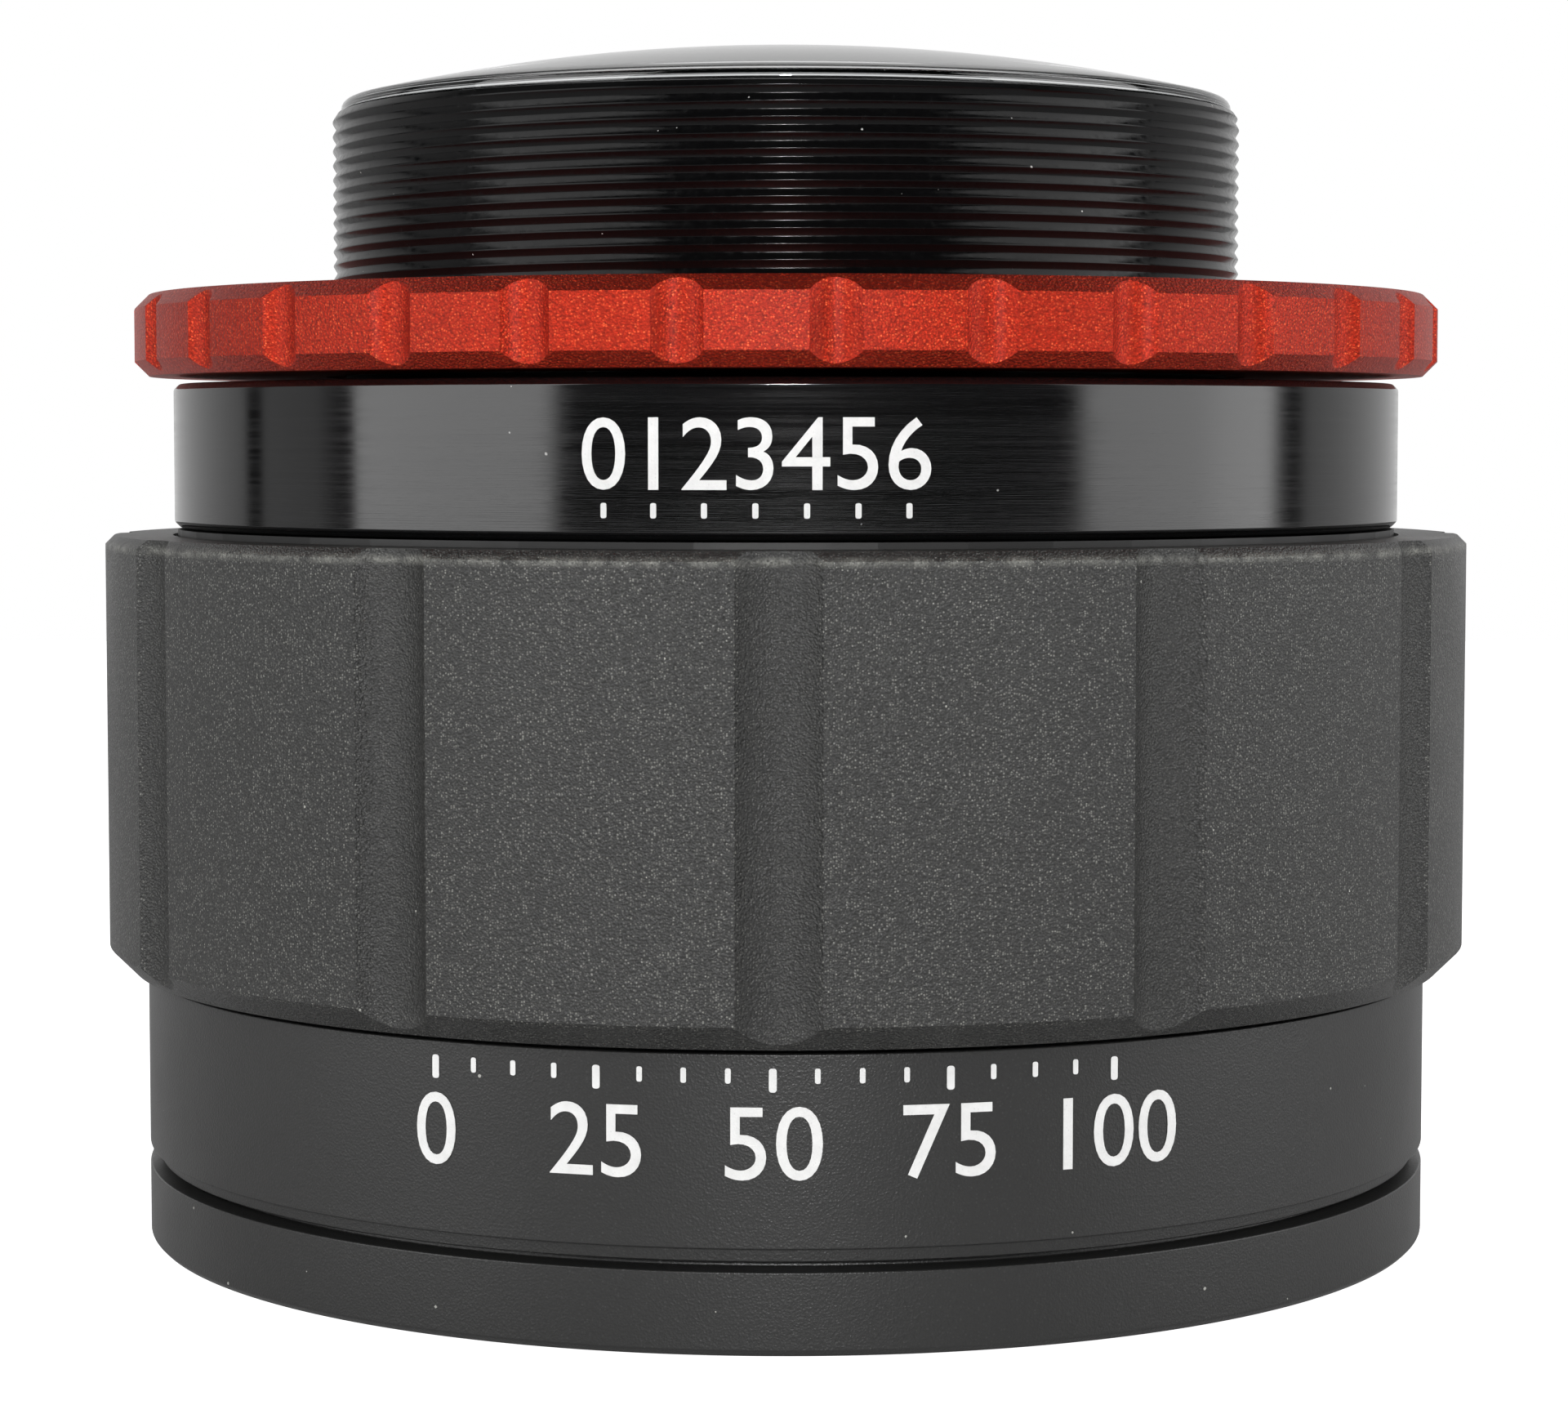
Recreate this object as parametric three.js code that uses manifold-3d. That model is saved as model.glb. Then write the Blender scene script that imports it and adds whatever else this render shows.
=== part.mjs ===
// Variable working-distance objective for a stereo microscope, standing on its front ring with the
// mounting thread upwards. Millimetres, +Z up along the optical axis, origin at the middle of the
// front face. Three things move: the fluted grip turns the cam sleeve inside it, the cam sleeve lifts
// the lens carriage along the guide tube, and the lock ring turns on the mounting thread.
import * as THREE from 'three';
import { mergeVertices } from 'three/addons/utils/BufferGeometryUtils.js';
import Module from 'manifold-3d';

const wasm = await Module();
wasm.setup();

// ---- Clearances ----
const RUN = 0.15;              // radial, between pieces that turn or slide on each other
const FIT = 0.1;               // radial, between pieces that are screwed or glued together
const SEAT = 0.1;              // axial, between faces that rest on each other
const CEMENT = 0.1;            // axial, the cement layer of a doublet
const WORKING_GAP = 0.4;       // axial, the open joint above the grip and under the lock ring

// ---- Radius of the neck, and the walls that the other radii are built up from ----
const NECK_R = 24.0;           // major radius of the M48 x 0.75 mounting thread
const LOCK_WIDTH = 10.4;       // lock ring, from the thread to its edge
const NECK_WALL = 1.5;         // round the rear retaining ring
const MOVING_LENS_STEP = 0.5;  // the moving lenses are this much smaller than the neck
const CARRIAGE_WALL = 3.5;
const GUIDE_WALL = 2.3;
const SLEEVE_WALL = 2.6;
const GRIP_WALL = 3.6;
const FLANGE_WALL = 2.75;      // rear barrel, round the guide tube
const BARREL_WALL = 4.35;      // lower barrel, round the guide tube
const FRONT_RING_WALL = 5.1;   // front ring, round the window

// ---- Heights, from the front face upwards ----
const FRONT_RING_H = 3.95;
const GROOVE_H = 1.05;
const LOWER_BARREL_H = 9.0;
const FLANGE_H = 7.45;
const LOCK_H = 4.2;
const NECK_H = 14.15;

// ---- Focusing movement ----
const TRAVEL = 8.0;            // of the lens carriage
const TURN = THREE.MathUtils.degToRad(110);   // of the grip over that travel
const FOLLOWERS = 3;
const SLEEVE_FOOT = 2.05;      // cam sleeve below its slots
const STOP_ABOVE_SLOT = 4.0;   // from the slots' upper end to the stop screw
const SLEEVE_HEAD = 4.2;       // from the stop screw to the top of the cam sleeve
const PIN_HEIGHT = 8.2;        // of the follower pins above the foot of the carriage

// ---- Chamfers and steps ----
const EDGE = 0.3;
const GRIP_TOP_CHAMFER = 0.45;
const GRIP_FOOT_CHAMFER = 1.2;
const LOCK_CHAMFER = 0.75;
const NECK_CHAMFER = 0.4;
const RELIEF_DEPTH = 0.6;      // thread run-out groove at the foot of the neck
const RELIEF_H = 0.6;
const LEDGE_STEP = 0.55;       // ledge inside the groove above the front ring
const LEDGE_DROP = 0.7;
const GROOVE_DEPTH = 1.4;

// ---- Flutes and scallops ----
const FLUTES = 12;
const FLUTE_WIDTH = 4.0;
const FLUTE_DEPTH = 0.9;
const FLUTE_START = THREE.MathUtils.degToRad(-90.5);
const SCALLOPS = 30;
const SCALLOP_WIDTH = 2.45;
const SCALLOP_DEPTH = 0.58;
const SCALLOP_START = THREE.MathUtils.degToRad(-86.2);

// ---- Lips, seats and rings inside ----
const GRIP_LIP_T = 2.2;        // inward lip of the grip, above the cam sleeve
const GRIP_LIP_DROP = 0.3;     // from the top of the grip to the top of its lip
const SLIP_T = 0.5;            // slip rings on both sides of the grip
const SLIP_RECESS = 0.4;       // of the lower slip ring in the lower barrel
const SLIP_RIM = 0.6;          // wall of the lower barrel round that recess
const WEB_T = 3.8;             // of the rear barrel, above the guide tube
const GUIDE_FLANGE_T = 2.0;
const GUIDE_FLANGE_EDGE = 1.2; // inside the barrel screws' heads
const GUIDE_STOP_LIP = 1.5;    // of the lower barrel, under the guide tube
const GUIDE_STOP_T = 1.0;
const CARRIAGE_BORE_LIP = 1.9;
const CARRIAGE_HEAD = 4.0;     // of the carriage above its lens seat
const THREAD_WALL = 2.7;       // lower barrel, round the front ring's thread

// ---- Optics ----
const REAR_STEP = 0.6;         // ground shoulder of the rear lens under its retaining ring
const DOME_CURVE = 100;
const DOME_EDGE = 0.64;        // of the dome's edge above the rim of the neck
const DOME_INSET = 0.45;       // of the dome's edge from the outside of the neck
const REAR_CEMENT_CURVE = 60;
const REAR_INNER_CURVE = 150;
const REAR_CROWN_EDGE = 2.6;
const REAR_FLINT_CENTRE = 1.9;
const REAR_SEAT_LIP = 1.3;
const REAR_RETAINER_T = 1.1;
const REAR_RETAINER_DROP = 0.15;
const REAR_RETAINER_WALL = 0.9;
const MOVING_TOP_CURVE = 140;
const MOVING_CEMENT_CURVE = 112;
const MOVING_FRONT_CURVE = 200;
const MOVING_FLINT_CENTRE = 2.0;
const MOVING_CROWN_CENTRE = 2.8;
const WINDOW_T = 2.5;
const WINDOW_LIP_T = 1.8;
const WINDOW_LIP = 1.6;
const WINDOW_BEVEL = 1.6;
const RETAINER_CLEAR = 1.1;    // from the window's retaining ring to the top of the front ring
const RETAINER_INSET = 0.2;    // of the carriage's retaining ring above its foot
const RETAINER_T = 1.3;
const RETAINER_WALL = 1.8;
const NOTCH_W = 2.0;           // spanner notches of the retaining rings
const NOTCH_D = 0.6;

// ---- Followers and fasteners ----
const COLLAR_R = 1.75;
const COLLAR_BORE_R = 1.1;
const PIN_ROOT_R = 1.2;
const PIN_SHOULDER_R = 1.6;
const PIN_DEPTH = 2.5;
const STOP_R = 1.0;
const GRIP_SCREW_R = 0.7;
const GRIP_SCREW_HEAD_R = 1.1;
const GRIP_SCREW_HEAD_H = 1.0;
const GRIP_SCREW_GRIP = 2.8;   // thread length in the cam sleeve
const GRIP_SCREW_INSET = 1.5;  // from the cam sleeve's bore
const BARREL_SCREW_R = 0.95;
const BARREL_SCREW_HEAD_R = 1.9;
const BARREL_SCREW_HEAD_H = 1.3;
const BARREL_SCREW_GRIP = 2.6; // thread length in the rear barrel
const HEAD_MARGIN = 0.25;      // between the barrel screws' heads and the guide tube
const SCREWS = 3;

// ---- Roundness of the solids ----
const SIDES = 48;
const GRIP_SIDES = 60;
const LENS_SIDES = 32;
const SMALL_SIDES = 10;
const CURVE_STEPS = 5;
const SLOT_SIDES = 16;
const FLUTE_SIDES = 28;
const HELIX_STEPS = 14;

// ---- Cutters and joins ----
const PAST = 1.0;              // a cutter runs this far past the piece
const BITE = 0.5;              // two lengths of one pin run this far into each other

// Depth of a spherical face of this radius of curvature, from its apex to radius r.
const sag = (curve, r) => Math.abs(curve) - Math.sqrt(curve * curve - r * r);

// ---- Radii worked out from the sizes above, from the axis outwards ----
const rearRetainerR = NECK_R - NECK_WALL - FIT;
const rearRetainerInner = rearRetainerR - REAR_RETAINER_WALL;
const rearClearR = rearRetainerInner - RUN;
const rearLensR = rearClearR + REAR_STEP;
const rearBore = rearLensR + FIT;
const movingLensR = NECK_R - MOVING_LENS_STEP;
const carriageBore = movingLensR + FIT;
const carriageR = carriageBore + CARRIAGE_WALL;
const guideBore = carriageR + RUN;
const guideR = guideBore + GUIDE_WALL;
const guideSocketR = guideR + FIT;
const sleeveBore = guideR + RUN;
const sleeveR = sleeveBore + SLEEVE_WALL;
const gripBore = sleeveR + FIT;
const gripR = gripBore + GRIP_WALL;
const flangeR = guideSocketR + FLANGE_WALL;
const barrelR = guideSocketR + BARREL_WALL;
const lockR = NECK_R + LOCK_WIDTH;
const slipInner = guideR + RUN;
const slipOuter = flangeR - RUN;
const threadR = barrelR - THREAD_WALL;
const windowBore = threadR - FIT - FRONT_RING_WALL;
const windowR = windowBore - FIT;
const gripScrewR = sleeveBore + GRIP_SCREW_INSET;
const barrelScrewR = guideBore - BARREL_SCREW_HEAD_R - HEAD_MARGIN;
const guideFlangeR = barrelScrewR - BARREL_SCREW_HEAD_R - GUIDE_FLANGE_EDGE;

// ---- Levels worked out from the sizes above, from the front face upwards ----
const grooveTop = FRONT_RING_H + GROOVE_H;
const ledgeZ = grooveTop - LEDGE_DROP;
const barrelTop = grooveTop + LOWER_BARREL_H;
const windowZ = WINDOW_LIP_T + SEAT;
const windowRetainerZ = windowZ + WINDOW_T + SEAT;
const frontRingTop = windowRetainerZ + RETAINER_T + RETAINER_CLEAR;
const barrelLipZ = frontRingTop + 5 * SEAT;
const guideBottom = barrelLipZ + GUIDE_STOP_T + SEAT;
const slipSeat = barrelTop - SLIP_RECESS;
const gripBottom = slipSeat + SEAT + SLIP_T + SEAT;
const pinZ = gripBottom + SLEEVE_FOOT + COLLAR_R;
const stopZ = pinZ + TRAVEL + STOP_ABOVE_SLOT;
const sleeveTop = stopZ + SLEEVE_HEAD;
const lipBottom = sleeveTop + SEAT;
const lipTop = lipBottom + GRIP_LIP_T;
const gripTop = lipTop + GRIP_LIP_DROP;
const flangeBottom = gripTop + WORKING_GAP;
const flangeTop = flangeBottom + FLANGE_H;
const lockBottom = flangeTop + WORKING_GAP;
const lockTop = lockBottom + LOCK_H;
const rimZ = flangeTop + NECK_H;
const webZ = flangeTop - WEB_T;
const guideTop = webZ - SEAT;
const guideFlangeZ = guideTop - GUIDE_FLANGE_T;

// ---- Levels of the lenses ----
const domeR = NECK_R - DOME_INSET;
const domeZ = rimZ + DOME_EDGE + sag(DOME_CURVE, domeR);
const domeLipZ = rimZ + SEAT;
const rearRetainerZ = rimZ - REAR_RETAINER_DROP - REAR_RETAINER_T;
const rearShoulderZ = rearRetainerZ - SEAT;
const rearCementZ = rearShoulderZ - REAR_CROWN_EDGE;
const rearFlintEdge =
  REAR_FLINT_CENTRE + sag(REAR_CEMENT_CURVE, rearLensR) - sag(REAR_INNER_CURVE, rearLensR);
const rearFlintZ = rearCementZ - CEMENT - rearFlintEdge;
const rearFlintBulge = sag(REAR_INNER_CURVE, rearLensR) - sag(REAR_INNER_CURVE, rearLensR - REAR_SEAT_LIP);
const rearSeatZ = rearFlintZ - rearFlintBulge - SEAT;
const carriageBottom = pinZ - PIN_HEIGHT;
const movingRetainerZ = carriageBottom + RETAINER_INSET;
const movingCementSag = sag(MOVING_CEMENT_CURVE, movingLensR);
const movingCrownEdge = MOVING_CROWN_CENTRE - movingCementSag + sag(MOVING_FRONT_CURVE, movingLensR);
const movingFlintEdge = MOVING_FLINT_CENTRE + movingCementSag + sag(MOVING_TOP_CURVE, movingLensR);
const movingCrownZ = movingRetainerZ + RETAINER_T + SEAT;
const movingFlintZ = movingCrownZ + movingCrownEdge + CEMENT;
const carriageSeatZ = movingFlintZ + movingFlintEdge + SEAT;
const carriageTop = carriageSeatZ + CARRIAGE_HEAD;

// ---- Where the pins and screws stand round the axis ----
const followerAngle = (k) => (k * 2 * Math.PI) / FOLLOWERS;
const screwAngle = (k) => (k * 2 * Math.PI) / SCREWS + Math.PI / 3;
const stopAngle = Math.PI / 6;

// ---- Materials ----
const finish = (color, roughness, metalness) =>
  new THREE.MeshStandardMaterial({ color, roughness, metalness });
const glossBlack = finish(0x101011, 0.25, 0.6);
const beadBlasted = finish(0x454543, 0.75, 0.4);
const satinBlack = finish(0x3f403e, 0.6, 0.4);
const redAnodised = finish(0xb83a26, 0.45, 0.6);
const innerBlack = finish(0x1c1c1d, 0.8, 0.3);
const brass = finish(0xb5934f, 0.35, 1);
const steel = finish(0x9a9b9e, 0.35, 1);
const slipPlastic = finish(0x1a1a1a, 0.5, 0);
const glass = finish(0xa9bcc4, 0.05, 0);

// ---- Geometry helpers ----
// One closed mesh: shared vertices merged, and triangles that closed up on the axis left out.
function closed(geometry) {
  geometry.deleteAttribute('normal');
  geometry.deleteAttribute('uv');
  const merged = mergeVertices(geometry);
  const index = merged.index.array;
  const kept = [];
  for (let i = 0; i < index.length; i += 3) {
    const [a, b, c] = [index[i], index[i + 1], index[i + 2]];
    if (a !== b && b !== c && c !== a) kept.push(a, b, c);
  }
  merged.setIndex(kept);
  return merged;
}

// A ring or disc turned about +Z from its outline, (radius, height) pairs listed anticlockwise.
function turned(outline, sides = SIDES) {
  const points = [...outline, outline[0]].map(([r, z]) => new THREE.Vector2(r, z));
  return closed(new THREE.LatheGeometry(points, sides).rotateX(Math.PI / 2));
}

function ring(inner, outer, bottom, top, sides = SIDES) {
  return turned([[inner, bottom], [outer, bottom], [outer, top], [inner, top]], sides);
}

// A round bar about +Z.
function bar(radius, bottom, top, sides = SMALL_SIDES) {
  const height = top - bottom;
  return new THREE.CylinderGeometry(radius, radius, height, sides)
    .rotateX(Math.PI / 2)
    .translate(0, 0, bottom + height / 2);
}

// A round bar that points outwards at an angle, from one radius to another, at height z.
function spoke(radius, from, to, angle, z, sides = SMALL_SIDES) {
  return bar(radius, from, to, sides).rotateY(Math.PI / 2).rotateZ(angle).translate(0, 0, z);
}

function at(geometry, radius, angle) {
  return geometry.translate(radius * Math.cos(angle), radius * Math.sin(angle), 0);
}

// A curved bar of rectangular section that climbs evenly from one angle and height to another.
function helicalBar(inner, outer, halfHeight, from, to, steps = HELIX_STEPS) {
  const positions = [];
  const index = [];
  for (let i = 0; i <= steps; i += 1) {
    const angle = THREE.MathUtils.lerp(from.angle, to.angle, i / steps);
    const z = THREE.MathUtils.lerp(from.z, to.z, i / steps);
    for (const [r, side] of [[inner, -1], [outer, -1], [outer, 1], [inner, 1]]) {
      positions.push(r * Math.cos(angle), r * Math.sin(angle), z + side * halfHeight);
    }
  }
  for (let i = 0; i < steps; i += 1) {
    for (let k = 0; k < 4; k += 1) {
      const [a, b] = [i * 4 + k, i * 4 + ((k + 1) % 4)];
      index.push(a, a + 4, b, b, a + 4, b + 4);
    }
  }
  const last = steps * 4;
  index.push(0, 1, 2, 0, 2, 3, last, last + 2, last + 1, last, last + 3, last + 2);
  const geometry = new THREE.BufferGeometry();
  geometry.setAttribute('position', new THREE.Float32BufferAttribute(positions, 3));
  geometry.setIndex(index);
  return geometry;
}

function solidOf(geometry) {
  const mesh = closed(geometry);
  const vertProperties = new Float32Array(mesh.attributes.position.array);
  const triVerts = new Uint32Array(mesh.index.array);
  const solid = new wasm.Manifold(new wasm.Mesh({ numProp: 3, vertProperties, triVerts }));
  return solid.volume() < 0 ? solidOf(flipped(mesh)) : solid;
}

function flipped(mesh) {
  const index = Array.from(mesh.index.array);
  for (let i = 0; i < index.length; i += 3) [index[i], index[i + 1]] = [index[i + 1], index[i]];
  mesh.setIndex(index);
  return mesh;
}

// The piece with every cutter taken out of it.
function cut(geometry, cutters) {
  let solid = solidOf(geometry);
  for (const cutter of cutters) solid = solid.subtract(solidOf(cutter));
  return geometryOf(solid);
}

function joined(geometries) {
  let solid = solidOf(geometries[0]);
  for (const more of geometries.slice(1)) solid = solid.add(solidOf(more));
  return geometryOf(solid);
}

function geometryOf(solid) {
  const mesh = solid.getMesh();
  const geometry = new THREE.BufferGeometry();
  geometry.setAttribute('position', new THREE.BufferAttribute(mesh.vertProperties, 3));
  geometry.setIndex(new THREE.BufferAttribute(mesh.triVerts, 1));
  return geometry;
}

const count = (n, make) => Array.from({ length: n }, (_, k) => make(k));

// Radius of a round cutter that leaves a hollow of this width and depth in a round of radius r.
function hollowRadius(r, width, depth) {
  const rise = Math.sqrt(r * r - (width * width) / 4) - (r - depth);
  return (rise * rise + (width * width) / 4) / (2 * rise);
}

// Round cutters for n hollows, evenly spaced round a piece that reaches from bottom to top.
function hollows({ n, r, width, depth, start, bottom, top, sides }) {
  const cutterR = hollowRadius(r, width, depth);
  const step = (2 * Math.PI) / n;
  return count(n, (k) =>
    at(bar(cutterR, bottom - PAST, top + PAST, sides), r - depth + cutterR, start + k * step));
}

// ---- Lens helpers ----
// Points of a lens face from the axis to the edge. A positive curve bulges up, a negative one down.
function face(curve, edgeR, edgeZ) {
  return count(CURVE_STEPS + 1, (k) => {
    const r = (edgeR * k) / CURVE_STEPS;
    return [r, edgeZ + Math.sign(curve) * (sag(curve, edgeR) - sag(curve, r))];
  });
}

function lens(bottomFace, sideSteps, topFace) {
  return turned([...bottomFace, ...sideSteps, ...topFace.reverse()], LENS_SIDES);
}

// ---- Fixed housing ----
function rearBarrel() {
  const body = turned([
    [guideSocketR, flangeBottom],
    [flangeR, flangeBottom],
    [flangeR, flangeTop - EDGE],
    [flangeR - EDGE, flangeTop],
    [NECK_R - RELIEF_DEPTH, flangeTop],
    [NECK_R - RELIEF_DEPTH, flangeTop + RELIEF_H],
    [NECK_R, flangeTop + RELIEF_H + EDGE],
    [NECK_R, rimZ - NECK_CHAMFER],
    [NECK_R - NECK_CHAMFER, rimZ],
    [rearRetainerR + FIT, rimZ],
    [rearRetainerR + FIT, rearShoulderZ],
    [rearBore, rearShoulderZ],
    [rearBore, rearSeatZ],
    [rearBore - REAR_SEAT_LIP, rearSeatZ],
    [rearBore - REAR_SEAT_LIP, webZ],
    [guideSocketR, webZ],
  ]);
  const depth = BARREL_SCREW_GRIP + 3 * SEAT;
  const holes = count(SCREWS, (k) =>
    at(bar(BARREL_SCREW_R + FIT, webZ - PAST, webZ + depth), barrelScrewR, screwAngle(k)));
  return cut(body, holes);
}

function guideTube() {
  const body = turned([
    [guideBore, guideBottom],
    [guideR, guideBottom],
    [guideR, guideTop],
    [guideFlangeR, guideTop],
    [guideFlangeR, guideFlangeZ],
    [guideBore, guideFlangeZ],
  ]);
  const slotR = PIN_SHOULDER_R + FIT;
  const [from, to] = [guideBore - PAST, guideR + PAST];
  const slots = count(FOLLOWERS, (k) => {
    const middle = new THREE.BoxGeometry(to - from, 2 * slotR, TRAVEL)
      .translate((from + to) / 2, 0, pinZ + TRAVEL / 2)
      .rotateZ(followerAngle(k));
    return [
      spoke(slotR, from, to, followerAngle(k), pinZ, SLOT_SIDES),
      spoke(slotR, from, to, followerAngle(k), pinZ + TRAVEL, SLOT_SIDES),
      middle,
    ];
  }).flat();
  const holes = count(SCREWS, (k) =>
    at(bar(BARREL_SCREW_R + FIT, guideFlangeZ - PAST, guideTop + PAST), barrelScrewR, screwAngle(k)));
  return cut(body, [...slots, ...holes, spoke(STOP_R + FIT, from, to, stopAngle, stopZ)]);
}

function lowerBarrel() {
  return turned([
    [threadR, ledgeZ],
    [barrelR - LEDGE_STEP, ledgeZ],
    [barrelR - LEDGE_STEP, grooveTop],
    [barrelR, grooveTop],
    [barrelR, barrelTop],
    [barrelR - SLIP_RIM, barrelTop],
    [barrelR - SLIP_RIM, slipSeat],
    [guideSocketR, slipSeat],
    [guideSocketR, guideBottom - SEAT],
    [guideR - GUIDE_STOP_LIP, guideBottom - SEAT],
    [guideR - GUIDE_STOP_LIP, barrelLipZ],
    [threadR, barrelLipZ],
  ]);
}

function frontRing() {
  const aperture = windowBore - WINDOW_LIP;
  return turned([
    [aperture + WINDOW_BEVEL, 0],
    [barrelR - EDGE, 0],
    [barrelR, EDGE],
    [barrelR, FRONT_RING_H],
    [barrelR - GROOVE_DEPTH, FRONT_RING_H],
    [barrelR - GROOVE_DEPTH, ledgeZ - SEAT],
    [threadR - FIT, ledgeZ - SEAT],
    [threadR - FIT, frontRingTop],
    [windowBore, frontRingTop],
    [windowBore, WINDOW_LIP_T],
    [aperture, WINDOW_LIP_T],
    [aperture, WINDOW_LIP_T - EDGE],
  ]);
}

// A threaded retaining ring with two spanner notches in its upper or lower face.
function retainer(outer, wall, bottom, height, notchedFace = 'upper') {
  const notchZ = notchedFace === 'upper' ? bottom + height : bottom;
  const notch = new THREE.BoxGeometry(2 * (outer + PAST), NOTCH_W, 2 * NOTCH_D).translate(0, 0, notchZ);
  return cut(ring(outer - wall, outer, bottom, bottom + height), [notch]);
}

function upperSlipRing() {
  return ring(slipInner, slipOuter, flangeBottom - SEAT - SLIP_T, flangeBottom - SEAT);
}

function lowerSlipRing() {
  return ring(slipInner, slipOuter, slipSeat + SEAT, slipSeat + SEAT + SLIP_T);
}

// ---- Grip and cam sleeve ----
function gripRing() {
  const body = turned([
    [gripBore, gripBottom],
    [gripR - GRIP_FOOT_CHAMFER, gripBottom],
    [gripR, gripBottom + GRIP_FOOT_CHAMFER],
    [gripR, gripTop - GRIP_TOP_CHAMFER],
    [gripR - GRIP_TOP_CHAMFER, gripTop],
    [gripBore + FIT, gripTop],
    [gripBore + FIT, lipTop],
    [sleeveBore, lipTop],
    [sleeveBore, lipBottom],
    [gripBore, lipBottom],
  ], GRIP_SIDES);
  const headSeat = lipTop - GRIP_SCREW_HEAD_H - 2 * SEAT;
  const holes = count(SCREWS, (k) => [
    at(bar(GRIP_SCREW_R + FIT, lipBottom - PAST, lipTop + PAST), gripScrewR, screwAngle(k)),
    at(bar(GRIP_SCREW_HEAD_R + FIT, headSeat, lipTop + PAST), gripScrewR, screwAngle(k)),
  ]).flat();
  const flutes = hollows({
    n: FLUTES,
    r: gripR,
    width: FLUTE_WIDTH,
    depth: FLUTE_DEPTH,
    start: FLUTE_START,
    bottom: gripBottom,
    top: gripTop,
    sides: FLUTE_SIDES,
  });
  return cut(body, [...flutes, ...holes]);
}

// The grip turning by TURN brings the lower end of each slot round to where its upper end was.
function camSleeve() {
  const body = ring(sleeveBore, sleeveR, gripBottom, sleeveTop);
  const [from, to] = [sleeveBore - PAST, sleeveR + PAST];
  const slotR = COLLAR_R + FIT;
  const tilt = Math.atan2(TRAVEL, TURN * (sleeveBore + sleeveR) / 2);
  const slots = count(FOLLOWERS, (k) => {
    const low = { angle: followerAngle(k), z: pinZ };
    const high = { angle: followerAngle(k) - TURN, z: pinZ + TRAVEL };
    return [
      helicalBar(from, to, slotR / Math.cos(tilt), low, high),
      spoke(slotR, from, to, low.angle, low.z, SLOT_SIDES),
      spoke(slotR, from, to, high.angle, high.z, SLOT_SIDES),
    ];
  }).flat();
  const stopSlotR = STOP_R + FIT;
  const stopSlot = [
    helicalBar(from, to, stopSlotR, { angle: stopAngle, z: stopZ }, { angle: stopAngle - TURN, z: stopZ }),
    spoke(stopSlotR, from, to, stopAngle, stopZ),
    spoke(stopSlotR, from, to, stopAngle - TURN, stopZ),
  ];
  const holeFoot = sleeveTop - GRIP_SCREW_GRIP - 2 * SEAT;
  const holes = count(SCREWS, (k) =>
    at(bar(GRIP_SCREW_R + FIT, holeFoot, sleeveTop + PAST), gripScrewR, screwAngle(k)));
  return cut(body, [...slots, ...stopSlot, ...holes]);
}

// A screw with its head above (direction 1) or below (-1) the face at faceZ that the head clamps.
function screw({ radius, headR, headH, faceZ, shank, direction }) {
  const head = bar(headR, ...[faceZ, faceZ + direction * headH].sort((a, b) => a - b));
  const root = faceZ + (direction * headH) / 2;
  return joined([head, bar(radius, ...[root, faceZ - direction * shank].sort((a, b) => a - b))]);
}

function gripScrew(k) {
  const faceZ = lipTop - SEAT - GRIP_SCREW_HEAD_H;
  const body = screw({
    radius: GRIP_SCREW_R,
    headR: GRIP_SCREW_HEAD_R,
    headH: GRIP_SCREW_HEAD_H,
    faceZ,
    shank: faceZ - sleeveTop + GRIP_SCREW_GRIP,
    direction: 1,
  });
  return at(body, gripScrewR, screwAngle(k));
}

function barrelScrew(k) {
  const faceZ = guideFlangeZ - SEAT;
  const body = screw({
    radius: BARREL_SCREW_R,
    headR: BARREL_SCREW_HEAD_R,
    headH: BARREL_SCREW_HEAD_H,
    faceZ,
    shank: webZ - faceZ + BARREL_SCREW_GRIP,
    direction: -1,
  });
  return at(body, barrelScrewR, screwAngle(k));
}

function stopScrew() {
  return spoke(STOP_R, guideBore + 2 * FIT, sleeveR - 2 * FIT, stopAngle, stopZ);
}

// ---- Lens carriage and its followers ----
function carriage() {
  const body = turned([
    [carriageBore, carriageBottom],
    [carriageR, carriageBottom],
    [carriageR, carriageTop],
    [carriageBore - CARRIAGE_BORE_LIP, carriageTop],
    [carriageBore - CARRIAGE_BORE_LIP, carriageSeatZ],
    [carriageBore, carriageSeatZ],
  ]);
  const holes = count(FOLLOWERS, (k) =>
    spoke(PIN_ROOT_R + FIT, carriageR - PIN_DEPTH - FIT, carriageR + PAST, followerAngle(k), pinZ));
  return cut(body, holes);
}

function followerPin(k) {
  const shoulder = carriageR + FIT;
  const spigot = guideR - FIT;
  const body = joined([
    bar(PIN_ROOT_R, carriageR - PIN_DEPTH, shoulder + BITE),
    bar(PIN_SHOULDER_R, shoulder, spigot, SLOT_SIDES),
    bar(COLLAR_BORE_R - FIT, spigot - BITE, sleeveR - 2 * FIT),
  ]);
  return body.rotateY(Math.PI / 2).rotateZ(followerAngle(k)).translate(0, 0, pinZ);
}

function followerCollar(k) {
  return ring(COLLAR_BORE_R, COLLAR_R, sleeveBore, sleeveR - 2 * FIT, SLOT_SIDES)
    .rotateY(Math.PI / 2)
    .rotateZ(followerAngle(k))
    .translate(0, 0, pinZ);
}

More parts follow.
